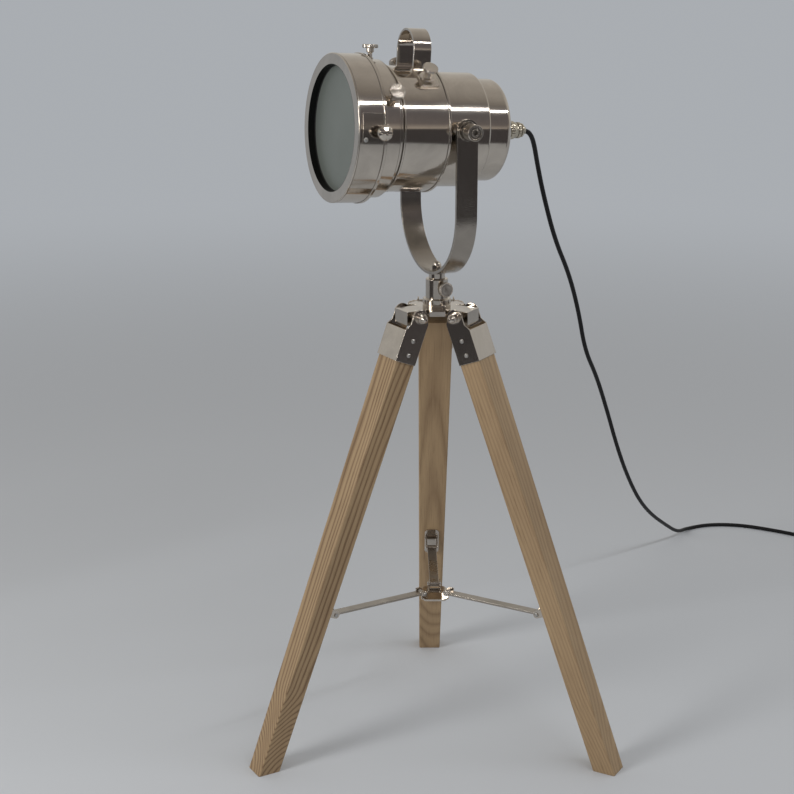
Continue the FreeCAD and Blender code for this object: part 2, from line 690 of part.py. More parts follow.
# Leg pivot bolts with their washers, and the dome nuts on the other side
bolt_seat = leg_top_width / 2 + cap_plate
bolt_outline = [(-bolt_seat * 2 - washer_thick * 1.5, 0), (-bolt_seat * 2 - washer_thick * 1.5, pivot_bolt),
                (0, pivot_bolt), (0, bolt_head * 1.25), (washer_thick, bolt_head * 1.25),
                (washer_thick, bolt_head), (washer_thick + bolt_head_high * 0.45, bolt_head),
                (washer_thick + bolt_head_high * 0.5, bolt_head * 0.86),
                (washer_thick + bolt_head_high * 0.72, bolt_head * 0.82),
                (washer_thick + bolt_head_high * 0.9, bolt_head * 0.58),
                (washer_thick + bolt_head_high, bolt_head * 0.2), (washer_thick + bolt_head_high, 0)]
bolt_master = turned("pivot_bolt", bolt_outline)
nut_outline = [(0, pivot_bolt), (0, bolt_head * 1.25), (washer_thick, bolt_head * 1.25),
               (washer_thick, bolt_head), (washer_thick + bolt_head_high * 0.45, bolt_head),
               (washer_thick + bolt_head_high * 0.5, bolt_head * 0.86),
               (washer_thick + bolt_head_high * 0.72, bolt_head * 0.82),
               (washer_thick + bolt_head_high * 0.9, bolt_head * 0.58),
               (washer_thick + bolt_head_high, bolt_head * 0.2), (washer_thick + bolt_head_high, 0),
               (washer_thick + 1, 0), (washer_thick + 1, pivot_bolt)]
nut_master = turned("pivot_nut", nut_outline)


def pivot_side(degrees, hand):
    """A frame at a leg pivot's side face, X pointing out of the face."""
    out = TRIPOD * turn(Z_AXIS, degrees) * shift(x=pivot_circle, z=leg_pivot_height)
    return out * shift(y=bolt_seat * hand) * turn(Z_AXIS, 90 * hand)


BOLT_HAND = {"left": 1, "right": -1, "rear": 1}
keep("leg_pivot_bolts", repeated("leg_pivot_bolts", bolt_master,
                                 [pivot_side(LEGS[side], BOLT_HAND[side]) for side in LEGS]))
keep("leg_pivot_nuts", repeated("leg_pivot_nuts", nut_master,
                                [pivot_side(LEGS[side], -BOLT_HAND[side]) for side in LEGS]))

# ---------------------------------------------------------------- spreader
arm_length = spreader_reach - spreader_hub_circle


def spreader_arm(side):
    """A flat bar with a rolled barrel at each end, its leg pin at the origin."""
    name = f"spreader_arm_{side}"
    half = arm_width / 2
    bar = box(name + "_bar", arm_length, arm_width, arm_thick, (-arm_length, -half, -(arm_thick / 2)))
    barrels = [cylinder(name + "_barrel_leg", barrel_radius, arm_width, (0, -half, 0), "Y"),
               cylinder(name + "_barrel_hub", barrel_radius, arm_width, (-arm_length, -half, 0), "Y")]
    hole = cylinder(name + "_pin_hole", pin_radius + bolt_play, arm_width * 2, (0, -arm_width, 0), "Y")
    whole = cut(name + "_rolled", fuse(name + "_bent", bar, *barrels), hole)
    place = TRIPOD * turn(Z_AXIS, LEGS[side]) * shift(x=spreader_reach, z=spreader_height)
    return keep(name, whole, place)


def spreader_hub():
    """The hub plate with three pairs of upward ears for the arms."""
    plate_top = -(barrel_radius + 1.2)
    base = primitive("Prism", "spreader_hub_hexagon", (0, 0, plate_top - spreader_plate), "Z",
                     Circumradius=spreader_flats * 2 / math.sqrt(3), Height=spreader_plate)
    base.Polygon = 6
    pieces = [base]
    slots = []
    ear_side = arm_width / 2 + clevis_play + clevis_plate / 2
    tip = barrel_radius + 1.5
    for number, degrees in enumerate(LEGS.values()):
        for hand in (1, -1):
            ear = clevis_ear(f"spreader_hub_ear_{number}{'ab'[hand < 0]}", tip,
                             plate_top - spreader_plate / 2, tip)
            ear.Placement = turn(Z_AXIS, degrees) * shift(x=spreader_hub_circle, y=ear_side * hand)
            pieces.append(ear)
        slot = box(f"spreader_hub_slot_{number}", spreader_flats, arm_width + clevis_play * 2,
                   spreader_plate * 3,
                   (spreader_slot, -(arm_width / 2 + clevis_play), plate_top - spreader_plate * 2))
        slots.append(placed(f"spreader_hub_slot_placed_{number}", slot, turn(Z_AXIS, degrees)))
    return cut("spreader_hub_slotted", fuse("spreader_hub_star", *pieces), *slots)


def hub_rivet():
    """A rivet that closes one ear of the spreader hub, head outwards along local X."""
    outline = [(-clevis_plate, 0), (-clevis_plate, pin_radius), (0, pin_radius), (0, pin_radius * 1.8),
               (pin_radius * 0.7, pin_radius * 1.2), (pin_radius * 0.7, 0)]
    return turned("hub_rivet", outline)


for side in LEGS:
    spreader_arm(side)
rivet_places = []
for degrees in LEGS.values():
    for hand in (1, -1):
        spot = turn(Z_AXIS, degrees) * shift(x=spreader_hub_circle, y=arm_ear_outer * hand)
        rivet_places.append(spot * turn(Z_AXIS, 90 * hand))
rivets = repeated("hub_rivet_ring", hub_rivet(), rivet_places)
spreader_place = TRIPOD * shift(z=spreader_height)
keep("spreader_hub", cut("spreader_hub_drilled", spreader_hub(), rivets), spreader_place)
keep("spreader_hub_rivets", feature("spreader_hub_rivets", rivets.Shape.copy()), spreader_place)

# ---------------------------------------------------------------- yoke
yoke_outer = yoke_half + yoke_plate
yoke_arc = yoke_bottom + yoke_outer
arm_top = head_pivot_height + yoke_width / 2


def yoke():
    """A strap bent to a U, its arm ends rounded over the tilt knobs."""
    half = yoke_width / 2
    outer = cylinder("yoke_outer", yoke_outer, yoke_width, (-half, 0, yoke_arc), "X")
    inner = cylinder("yoke_inner", yoke_half, yoke_width * 2, (-yoke_width, 0, yoke_arc), "X")
    below = box("yoke_below", yoke_width * 2, yoke_outer * 3, yoke_outer * 2,
                (-yoke_width, -yoke_outer * 1.5, yoke_arc - yoke_outer * 2))
    bend = common("yoke_bend", cut("yoke_ring", outer, inner), below)
    arms = []
    for hand in (1, -1):
        middle = (yoke_arc + arm_top) / 2
        outline = [(-half, yoke_arc), (half, yoke_arc), (half, arm_top), (-half, arm_top)]
        arm = plate(f"yoke_arm_{'ab'[hand < 0]}", outline, yoke_plate)

        def arm_end(edge):
            line = straight_edge_along(Y_AXIS)(edge)
            return line and edge.Vertexes[0].Z > float(middle)
        dress(arm, "Fillet", yoke_width * 0.485, arm_end)
        arm.Placement = shift(y=(yoke_half + yoke_plate / 2) * hand)
        arms.append(arm)
    holes = [cylinder("yoke_tilt_hole", tilt_screw + bolt_play, yoke_outer * 3,
                      (0, -yoke_outer * 1.5, head_pivot_height), "Y"),
             cylinder("yoke_stem_hole", spigot_radius / 2, yoke_outer, (0, 0, yoke_bottom - 10))]
    return keep("yoke_strap", cut("yoke_drilled", fuse("yoke_bent", bend, *arms), *holes), YOKE)


yoke()
nut_seat = yoke_bottom + yoke_plate + 0.3
spigot_foot = hub_top + socket_floor + 0.5
spigot_outline = [(0, spigot_foot), (spigot_radius - 1.5, spigot_foot),
                  (spigot_radius, spigot_foot + 1.5), (spigot_radius, sleeve_top + 0.4),
                  (spigot_flange, sleeve_top + 0.4), (spigot_flange, yoke_bottom - 0.1),
                  (spigot_radius / 2, yoke_bottom - 0.1), (spigot_radius / 2, nut_seat + 5),
                  (0, nut_seat + 5)]
keep("yoke_spigot", turned("yoke_spigot_turned", spigot_outline, "V_Axis"), YOKE)


def dome_nut():
    """The dome nut in the bottom of the yoke."""
    hexagon = prism("yoke_nut_hexagon", yoke_nut_flats, yoke_nut_high, (0, 0, nut_seat))
    radius = yoke_nut_flats * 0.47
    dome = primitive("Sphere", "yoke_nut_dome", (0, 0, nut_seat + yoke_nut_high), "Z", Radius=radius)
    thread = cylinder("yoke_nut_thread", spigot_radius / 2, 5, (0, 0, nut_seat))
    below = cylinder("yoke_nut_below", yoke_nut_flats, 20, (0, 0, nut_seat - 20))
    return keep("yoke_nut", cut("yoke_nut_bored", fuse("yoke_nut_solid", hexagon, dome), thread, below), YOKE)


dome_nut()

# ---------------------------------------------------------------- head drums
rim_radius = front_drum_radius + 1.2
inner_front = front_drum_radius - sheet_wall
rib_end = rib_start + rib_width
front_outline = [
    (front_drum_start, rear_drum_radius - 3), (front_drum_start, rim_radius),
    (front_drum_start + rib_width, rim_radius), (front_drum_start + rib_width, front_drum_radius),
    (rib_start, front_drum_radius), (rib_start + 0.6, front_drum_radius + rib_proud),
    (rib_end - 0.6, front_drum_radius + rib_proud), (rib_end, front_drum_radius),
    (front_drum_end - 2, front_drum_radius), (front_drum_end, mouth_radius), (mouth_end, mouth_radius),
    (mouth_end, mouth_radius - sheet_wall), (front_drum_end + 1, mouth_radius - sheet_wall),
    (front_drum_end - 1, inner_front), (front_drum_start + sheet_wall, inner_front),
    (front_drum_start + sheet_wall, rear_drum_radius - 3)]
front_body = turned("front_drum_spun", front_outline)


def radial_drill(name, station, degrees, radius, low, high):
    """A drill square to the drum between two radii."""
    drill = cylinder(name, radius, high - low)
    drill.Placement = shift(x=station) * turn(X_AXIS, -float(degrees)) * shift(z=low)
    return drill


vent_drills = []
for number in range(2):
    station = vent_station + vent_pitch * number
    for end in (0, 1):
        vent_drills.append(radial_drill(f"vent_{number}{'ab'[end]}", station + vent_long * end, vent_angle,
                                        vent_radius, inner_front - 5, front_drum_radius + 5))
    middle = box(f"vent_{number}_middle", vent_long, vent_radius * 2, 10 + sheet_wall, (0, -vent_radius, 0))
    middle.Placement = shift(x=station) * turn(X_AXIS, -float(vent_angle)) * shift(z=inner_front - 5)
    vent_drills.append(middle)
for hand in (1, -1):
    vent_drills.append(radial_drill(f"handle_tap_{'ab'[hand < 0]}", handle_station,
                                    handle_screw_angle * hand, knob_shank + bolt_play,
                                    inner_front - 5, front_drum_radius + 5))
keep("head_front_drum", cut("front_drum_drilled", front_body, *vent_drills), HEAD)

inner_rear = rear_drum_radius - sheet_wall
inner_tail = tail_radius - sheet_wall
rear_outline = [
    (front_drum_start, rear_drum_radius), (-rear_step, rear_drum_radius),
    (-rear_step, tail_radius), (-tail_end, tail_radius), (-tail_end, gland_tube * 0.6),
    (-(tail_end - sheet_wall), gland_tube * 0.6), (-(tail_end - sheet_wall), inner_tail),
    (-(rear_step - sheet_wall), inner_tail), (-(rear_step - sheet_wall), inner_rear),
    (front_drum_start, inner_rear)]
rear_body = turned("rear_drum_spun", rear_outline)
dress(rear_body, "Fillet", tail_round, ring_edge(-tail_end, tail_radius))
dress(rear_body, "Fillet", tail_round - sheet_wall, ring_edge(-(tail_end - sheet_wall), inner_tail))
dress(rear_body, "Fillet", shoulder_round, ring_edge(-rear_step, rear_drum_radius))
keep("head_rear_drum", rear_body, HEAD)


def tilt_bosses():
    """Two tapped bosses on the rear drum that take the tilt knobs."""
    far_end = yoke_half - seat_gap
    pieces = []
    for hand in (1, -1):
        bar = cylinder(f"tilt_boss_{'ab'[hand < 0]}", tilt_boss, far_end - rear_drum_radius * 0.85)
        start = rear_drum_radius * 0.85
        bar.Placement = shift(y=start * hand, z=pivot_above_axis) * turn(X_AXIS, -90 * hand)
        pieces.append(bar)
    drum = cylinder("tilt_boss_drum", rear_drum_radius, tilt_boss * 4, (-tilt_boss * 2, 0, 0), "X")
    tap = cylinder("tilt_boss_tap", tilt_screw + bolt_play, yoke_outer * 3,
                   (0, -yoke_outer * 1.5, pivot_above_axis), "Y")
    return keep("tilt_bosses", cut("tilt_bosses_fitted", fuse("tilt_bosses_blank", *pieces), drum, tap), HEAD)


tilt_bosses()

# ---------------------------------------------------------------- clamp screws
def clamp_screw(label, place, shank_length, disc=knob_radius, rise=knob_rise, neck=knob_neck):
    """A disc-headed clamp screw; its neck's seat is the origin and X points outwards."""
    crown = rise + knob_thick
    outline = [(-shank_length, 0), (-shank_length, knob_shank), (0, knob_shank), (0, neck + 1.4),
               (1.6, neck + 1.4), (2.2, neck), (rise * 0.55, neck), (rise * 0.65, knob_boss),
               (rise, knob_boss), (rise, disc - knob_edge), (rise + knob_edge, disc),
               (crown - knob_edge, disc), (crown, disc - knob_edge), (crown, 0)]
    return keep(label, turned(label + "_turned", outline), place)


band_seat = band_radius + 0.1
band_shank = sheet_wall + seat_gap / 2
clamp_screw("bezel_screw_top", on_drum(band_screw_station, top_screw_angle, band_seat), band_shank)
clamp_screw("bezel_screw_near", on_drum(band_screw_station, side_screw_angle, band_seat), band_shank)
clamp_screw("bezel_screw_far", on_drum(band_screw_station, -side_screw_angle, band_seat), band_shank)

# ---------------------------------------------------------------- bezel and glass
flange_end = bezel_front - inner_flange
bezel_inner = bezel_radius - sheet_wall
band_inner = band_radius - sheet_wall
bezel_outline = [
    (bezel_rear, band_inner), (bezel_rear, band_radius), (bezel_step - 2, band_radius),
    (bezel_step, bezel_radius + lip_proud), (bezel_step + lip_width, bezel_radius + lip_proud),
    (bezel_step + lip_width + 0.6, bezel_radius), (bezel_front, bezel_radius),
    (bezel_front, bezel_opening), (flange_end, bezel_opening),
    (flange_end, bezel_opening + sheet_wall), (bezel_front - sheet_wall, bezel_opening + sheet_wall),
    (bezel_front - sheet_wall, bezel_inner), (bezel_step + 1.5, bezel_inner),
    (bezel_step - 0.6, band_inner)]
bezel_body = turned("bezel_spun", bezel_outline)
dress(bezel_body, "Fillet", sheet_wall * 0.9, ring_edge(bezel_front, bezel_radius))
bezel_drills = []
for number, degrees in enumerate((top_screw_angle, side_screw_angle, -side_screw_angle)):
    bezel_drills.append(radial_drill(f"bezel_tap_{number}", band_screw_station, degrees,
                                     knob_shank + bolt_play, band_inner - 5, band_radius + 5))
bezel_drills.append(radial_drill("bezel_dome_tap", dome_station, dome_angle, knob_shank + bolt_play,
                                 bezel_inner - 5, bezel_radius + 5))
keep("bezel_ring", cut("bezel_drilled", bezel_body, *bezel_drills), HEAD)

glass_front = flange_end - gasket_thick
glass_back = glass_front - glass_thick
glass_radius = bezel_inner - 1.5
keep("front_glass", turned("glass_disc", [(glass_back, 0), (glass_back, glass_radius),
                                          (glass_front, glass_radius), (glass_front, 0)]), HEAD)
gasket_outline = [(glass_front, bezel_opening - 0.5), (glass_front, bezel_opening + 8),
                  (flange_end, bezel_opening + 8), (flange_end, bezel_opening - 0.5)]
keep("glass_gasket", turned("gasket_ring", gasket_outline), HEAD)
retainer_outline = [(glass_back - retainer_thick, bezel_inner - 9), (glass_back - retainer_thick, bezel_inner),
                    (glass_back, bezel_inner), (glass_back, bezel_inner - 9)]
keep("glass_retaining_ring", turned("retainer_ring", retainer_outline), HEAD)


def catch_plate():
    """The small plate under the slotted screw on the bezel's near side."""
    start = catch_angle - catch_spread / 2
    end = catch_angle + catch_spread / 2
    strip = round_sector("catch_strip", bezel_radius + catch_thick, bezel_radius, catch_length,
                         start, end, catch_station)
    drills = [radial_drill("catch_dome_hole", dome_station, dome_angle, knob_shank + bolt_play,
                           bezel_radius - 5, bezel_radius + 5),
              radial_drill("catch_screw_hole", catch_station + catch_length * 0.36,
                           catch_angle + catch_spread * 0.36, screw_shank,
                           bezel_radius - 5, bezel_radius + 5)]
    return keep("bezel_catch_plate", cut("catch_drilled", strip, *drills), HEAD)


catch_plate()
plate_seat = bezel_radius + catch_thick
rivet_outline = [(-catch_thick, 0), (-catch_thick, screw_shank), (0, screw_shank), (0, screw_head),
                 (screw_dome / 2, screw_head * 0.9), (screw_dome, screw_head * 0.5), (screw_dome, 0)]
keep("catch_plate_screw", turned("catch_screw_turned", rivet_outline),
     on_drum(catch_station + catch_length * 0.36, catch_angle + catch_spread * 0.36, plate_seat + 0.02))


def slotted_screw():
    """The large domed screw with a slot, on its short neck."""
    rise = dome_rise
    outline = [(-(catch_thick + sheet_wall), 0), (-(catch_thick + sheet_wall), knob_shank),
               (0, knob_shank), (0, knob_neck + 1.6), (rise, knob_neck + 1.6), (rise, dome_radius * 0.9),
               (rise + dome_high * 0.2, dome_radius), (rise + dome_high * 0.5, dome_radius * 0.93),
               (rise + dome_high * 0.8, dome_radius * 0.68), (rise + dome_high, dome_radius * 0.3),
               (rise + dome_high, 0)]
    body = turned("slotted_screw_turned", outline)
    slot = box("slotted_screw_slot", dome_high / 2, dome_slot, dome_radius * 3,
               (rise + dome_high * 0.67, -(dome_slot / 2), -dome_radius * 1.5))
    return keep("bezel_slotted_screw", cut("slotted_screw_cut", body, slot),
                on_drum(dome_station, dome_angle, plate_seat + 0.1))


slotted_screw()

# ---------------------------------------------------------------- carry handle
foot_outer = front_drum_radius + handle_plate


def handle():
    """The strap handle: a loop over the drum with a flared foot on each side."""
    half = handle_width / 2
    inner_half = handle_half - handle_plate
    arc_height = handle_top - handle_half
    start = handle_station - half
    outer = cylinder("handle_outer", handle_half, handle_width, (start, 0, arc_height), "X")
    inner = cylinder("handle_inner", inner_half, handle_width * 2, (start - half, 0, arc_height), "X")
    above = box("handle_above", handle_width * 2, handle_half * 3, handle_half * 2,
                (start - half, -handle_half * 1.5, arc_height))
    pieces = [common("handle_bend", cut("handle_ring", outer, inner), above)]
    root_angle = math.degrees(math.asin(float(inner_half) / float(foot_outer)))
    root_height = math.sqrt(float(front_drum_radius + 0.4) ** 2 - float(inner_half) ** 2)
    for hand in (1, -1):
        leg_start = handle_half - handle_plate if hand > 0 else -handle_half
        pieces.append(box(f"handle_leg_{'ab'[hand < 0]}", handle_width, handle_plate,
                          arc_height - root_height, (start, leg_start, as_length(root_height))))
        angles = (root_angle, float(handle_foot_end))
        low, high = angles if hand > 0 else (-angles[1], -angles[0])
        pieces.append(round_sector(f"handle_foot_{'ab'[hand < 0]}", foot_outer, front_drum_radius,
                                   handle_width, low, high, handle_station))
    drills = [radial_drill(f"handle_hole_{'ab'[hand < 0]}", handle_station, handle_screw_angle * hand,
                           knob_shank + bolt_play, front_drum_radius - 5, foot_outer + 5)
              for hand in (1, -1)]
    return keep("carry_handle", cut("handle_drilled", fuse("handle_bent", *pieces), *drills), HEAD)


handle()
washer_outline = [(0, knob_shank + bolt_play), (0, handle_washer), (1.2, handle_washer),
                  (1.5, handle_washer - 0.4), (1.5, knob_shank + bolt_play)]
washer_master = turned("handle_washer", washer_outline)
washer_places = [on_drum(handle_station, handle_screw_angle * hand, foot_outer + 0.05) for hand in (1, -1)]
keep("handle_washers", repeated("handle_washers", washer_master, washer_places))
handle_seat = foot_outer + 1.7
for label, hand in (("handle_screw_near", 1), ("handle_screw_far", -1)):
    clamp_screw(label, on_drum(handle_station, handle_screw_angle * hand, handle_seat),
                handle_plate + sheet_wall + 3, knob_radius, knob_rise * 0.76, handle_neck)


def tilt_knob(label, hand):
    """A tilt knob: a stepped cylinder with a socket in its end and a thread into the boss."""
    seat = yoke_outer + 0.1
    long = tilt_knob_long
    outline = [(-(yoke_outer - rear_drum_radius - 1), 0), (-(yoke_outer - rear_drum_radius - 1), tilt_screw),
               (0, tilt_screw), (0, tilt_knob_radius + 2), (1.5, tilt_knob_radius + 2),
               (1.5, tilt_knob_radius - 1.5), (long * 0.25, tilt_knob_radius - 1.5),
               (long * 0.3, tilt_knob_radius), (long - 1, tilt_knob_radius),
               (long, tilt_knob_radius - 1), (long, tilt_knob_radius * 0.78),
               (long - 1, tilt_knob_radius * 0.74), (long - 1, tilt_knob_radius * 0.48),
               (long, tilt_knob_radius * 0.44), (long, tilt_socket), (long - 6, tilt_socket), (long - 6, 0)]
    place = HEAD * shift(y=seat * hand, z=pivot_above_axis) * turn(Z_AXIS, 90 * hand)
    return keep(label, turned(label + "_turned", outline), place)


tilt_knob("tilt_knob_near", 1)
tilt_knob("tilt_knob_far", -1)
stem_screw_place = TRIPOD * turn(Z_AXIS, float(stem_screw_side))
stem_screw_place = stem_screw_place * shift(x=sleeve_radius + 0.1, z=stem_screw_height)
clamp_screw("stem_screw", stem_screw_place, sleeve_radius - spigot_radius - 0.2,
            knob_radius, knob_rise * 0.42)

# ---------------------------------------------------------------- lamp inside the head
bracket_face = tail_end - sheet_wall
bore = cord_radius + bore_play
bracket_outline = [(-bracket_face, bore), (-bracket_face, 26), (-(bracket_face - 2), 26),
                   (-(bracket_face - 2), 9), (holder_start, 9), (holder_start, bore)]
keep("lampholder_bracket", turned("lampholder_bracket_turned", bracket_outline), HEAD)
holder_outline = [(holder_start, bore), (holder_start, holder_radius - 3),
                  (holder_start + 6, holder_radius), (holder_end, holder_radius),
                  (holder_end, cap_radius + 0.2), (holder_end - holder_depth, cap_radius + 0.2),
                  (holder_end - holder_depth, 0), (holder_start + 8, 0), (holder_start + 8, bore)]
keep("lampholder", turned("lampholder_turned", holder_outline), HEAD)
cap_back = holder_end - holder_depth + 0.2
cap_outline = [(cap_back, 0), (cap_back, 4), (cap_back + 2.8, cap_radius),
               (holder_end + 2, cap_radius), (holder_end + 2, 0)]
keep("bulb_cap", turned("bulb_cap_turned", cap_outline), HEAD)


def bulb():
    """The bulb's glass: a neck that swells into a globe."""
    neck = cap_radius + 0.8
    outline = [(holder_end + 2, 0), (holder_end + 2, neck), (bulb_centre - bulb_neck, neck + 1),
               (bulb_centre, neck + 1), (bulb_centre, 0)]
    neck_body = turned("bulb_neck", outline)
    globe = primitive("Sphere", "bulb_globe", (bulb_centre, 0, 0), "Z", Radius=bulb_radius)
    return keep("bulb_glass", fuse("bulb_blown", neck_body, globe), HEAD)


bulb()


def reflector():
    """A spun paraboloid round the bulb, seated by its rim in the drum."""
    rim = float(reflector_rim)
    focus = float(reflector_focus)
    front = float(reflector_front)
    vertex = front - rim ** 2 / (4 * focus)
    opening = float(holder_radius) + 2

    def at_radius(radius):
        return vertex + radius ** 2 / (4 * focus)

    count = 7
    outline = []
    for step in range(count + 1):
        radius = opening + (rim - opening) * step / count
        outline.append((as_length(at_radius(radius)), as_length(radius)))
    outline.append((as_length(front), as_length(float(inner_front) - 0.05)))
    outline.append((as_length(front - 1.2), as_length(float(inner_front) - 0.05)))
    for step in range(count, -1, -1):
        radius = opening + (rim - opening) * step / count
        outline.append((as_length(at_radius(radius) - 1.2), as_length(radius + 0.35)))
    return keep("reflector", turned("reflector_spun", outline), HEAD)


reflector()

# ---------------------------------------------------------------- gland and cord
flange_back = -(tail_end + 6)
tube_end = -(gland_end - 13)


def cable_gland():
    """The gland on the rear face: a hexagon flange and a tube."""
    tube_outline = [(-(tail_end - sheet_wall), bore), (-(tail_end - sheet_wall), gland_tube * 0.6),
                    (-tail_end, gland_tube * 0.6), (-tail_end, gland_tube), (tube_end, gland_tube),
                    (tube_end, bore)]
    tube = turned("gland_tube_turned", tube_outline)
    flange = prism("gland_hexagon", gland_flats, 6, (flange_back, 0, 0), "X")
    core = cylinder("gland_core", gland_tube, 8, (flange_back - 1, 0, 0), "X")
    return keep("cable_gland", fuse("gland_joined", tube, cut("gland_flange", flange, core)), HEAD)


def gland_nut():
    """The nut that grips the cord: a hexagon, a groove and a rounded collar."""
    mouth = -gland_end
    start = tube_end + 8
    outline = [(start, gland_tube + 0.02), (start, 12.2), (start - 1, 13.2), (start - 7, 13.2),
               (start - 8, 12.0), (start - 9, 12.0), (start - 10, 13.2), (start - 15, 13.2),
               (mouth + 2, 11.5), (mouth, 8.5), (mouth, bore), (tube_end - 0.2, bore),
               (tube_end - 0.2, gland_tube + 0.02)]
    return keep("gland_nut", turned("gland_nut_turned", outline), HEAD)


cable_gland()
gland_nut()
lead_end = holder_start + 7.8
keep("inner_lead", turned("inner_lead_turned", [(-gland_end, 0), (-gland_end, cord_radius),
                                                (lead_end, cord_radius), (lead_end, 0)]), HEAD)

root_length = 3.0


def root_end():
    """Where the cord's rigid first stretch ends, and its direction there."""
    start = HEAD.multVec(Vector(-float(gland_end) - root_length, 0, 0))
    direction = HEAD.Rotation.multVec(Vector(-1, 0, 0))
    return start, direction


keep("cord_root", turned("cord_root_turned", [(-gland_end - root_length, 0),
                                              (-gland_end - root_length, cord_radius),
                                              (-gland_end, cord_radius), (-gland_end, 0)]), HEAD)

# Route of the hanging cord from where it may bend, in the lamp's own frame without the
# footprint's offset: down behind the head, then along the floor to the right.
ROUTE_START = (115.94, 50.17, 918.7)
CORD_ROUTE = [
    (126.9, 54.9, 918), (135.8, 62.7, 912.7), (143, 79, 897), (152, 112, 860), (164, 136, 812),
    (188, 182, 734), (218, 238, 668), (240, 279, 597), (256, 310, 524), (284, 362, 464),
    (311, 413, 388), (338, 462, 306), (366, 515, 234), (400, 579, 163), (437, 650, 107),
    (480, 730, 56), (517, 800, 14), (544, 848, 3.6), (596, 872, 3.6), (660, 868, 3.6),
    (724, 836, 3.6), (786, 796, 3.6), (826, 784, 3.6)]


def arc_middle(start, direction, end):
    """The middle point of the arc that leaves start in a direction and reaches end."""
    chord = end - start
    unit = Vector(chord).normalize()
    side = direction - unit * direction.dot(unit)
    if side.Length < 1e-6:
        return None
    angle = math.atan2(side.Length, direction.dot(unit))
    return (start + end) * 0.5 + side.normalize() * (chord.Length / 2 * math.tan(angle / 2))


def biarc(start, leaving, end, arriving):
    """Two tangent arcs between two points with given directions."""
    chord = end - start
    both = leaving + arriving
    spare = 2 * (1 - leaving.dot(arriving))
    across = chord.dot(both)
    if spare < 1e-9:
        reach = chord.dot(chord) / (2 * across)
    else:
        reach = (math.sqrt(across ** 2 + spare * chord.dot(chord)) - across) / spare
    join = (start + leaving * reach + end - arriving * reach) * 0.5
    edges = []
    for first, direction, last, sign in ((start, leaving, join, 1), (end, arriving * -1, join, -1)):
        middle = arc_middle(first, direction, last)
        pair = (first, last) if sign > 0 else (last, first)
        if middle is None:
            edges.append(Part.LineSegment(*pair).toShape())
        else:
            edges.append(Part.Arc(pair[0], middle, pair[1]).toShape())
    return edges


def tube_edges(points):
    """Straight runs joined by tangent arcs, with each arc's radius."""
    edges = []
    radii = []
    last = points[0]
    for before, corner, after in zip(points, points[1:], points[2:]):
        inward = (corner - before).normalize()
        outward = (after - corner).normalize()
        bend = inward.getAngle(outward)
        shorter = min((corner - before).Length, (after - corner).Length)
        setback = 0.45 * shorter
        radius = setback / math.tan(bend / 2)
        radii.append(radius)
        start = corner - inward * setback
        end = corner + outward * setback
        edges.append(Part.LineSegment(last, start).toShape())
        edges.append(Part.Arc(start, arc_middle(start, inward, end), end).toShape())
        last = end
    edges.append(Part.LineSegment(last, points[-1]).toShape())
    return edges, radii


def round_tube(edges):
    """A round cord swept along a wire of lines and arcs."""
    wire = Part.Wire(edges)
    first = edges[0]
    start = first.valueAt(first.FirstParameter)
    direction = first.tangentAt(first.FirstParameter)
    section = Part.Wire([Part.Circle(start, direction, float(cord_radius)).toShape()])
    swept = wire.makePipeShell([section], True, False)
    shape = swept if isinstance(swept, Part.Solid) else Part.Solid(Part.Shell(swept.Faces))
    return shape, wire


start_point, start_direction = root_end()


def stretched_route():
    """The route's points, stretched to where the cord leaves the head."""
    stretch = start_point.z / ROUTE_START[2]
    aside = start_point - Vector(*ROUTE_START) * stretch
    floor = float(cord_radius) + 0.1
    points = []
    for point in CORD_ROUTE:
        moved = Vector(*point) * stretch + aside
        points.append(Vector(moved.x, moved.y, max(moved.z, floor)))
    return points


gap_after_root = start_point + start_direction * 0.5
route = [gap_after_root] + stretched_route()

# The put-away coil: a spiral in on the floor, a climb, and a spiral out on top of it
coil_first = float(coil_radius)
coil_middle_turns = float(coil_turns) / 2
layer = float(coil_pitch)
coil_heading = (route[-1] - route[-2]).normalize()
coil_left = Vector(-coil_heading.y, coil_heading.x, 0)
coil_end_run = 2 * float(cord_radius)
coil_entry = route[-1] + coil_heading * coil_end_run
coil_centre = coil_entry - coil_left * coil_first
COIL_CLIMB = math.pi


def coil_point(angle):
    """A point on the coil's centreline; it turns clockwise seen from above."""
    half = coil_middle_turns * 2 * math.pi
    inward = min(angle, 2 * half - angle)
    radius = coil_first - float(coil_pitch) * inward / (2 * math.pi)
    rise = (angle - (half - COIL_CLIMB / 2)) / COIL_CLIMB
    rise = min(max(rise, 0.0), 1.0)
    smooth = rise * rise * (3 - 2 * rise)
    out = coil_left * math.cos(angle) + coil_heading * math.sin(angle)
    return coil_centre + out * radius + Vector(0, 0, layer * smooth)


def coil_direction(angle):
    step = 1e-4
    return (coil_point(angle + step) - coil_point(angle - step)).normalize()


def coil_edges():
    total = float(coil_turns) * 2 * math.pi
    count = int(round(float(coil_turns) * 4))
    angles = [total * number / count for number in range(count + 1)]
    edges = [Part.LineSegment(route[-1], coil_entry).toShape()]
    first_edges = biarc(coil_entry, coil_heading, coil_point(angles[1]), coil_direction(angles[1]))
    edges += first_edges
    for low, high in zip(angles[1:], angles[2:]):
        edges += biarc(coil_point(low), coil_direction(low), coil_point(high), coil_direction(high))
    end = coil_point(total)
    edges.append(Part.LineSegment(end, end + coil_direction(total - 1e-3) * coil_end_run).toShape())
    return edges


hanging_edges, hanging_radii = tube_edges(route)
print("cord radii", [round(radius) for radius in hanging_radii])
hanging, hanging_wire = round_tube(hanging_edges)
keep("power_cord", feature("power_cord", hanging))
turns = coil_edges()
coil, coil_wire = round_tube(turns)
keep("cord_coil", feature("cord_coil", coil))


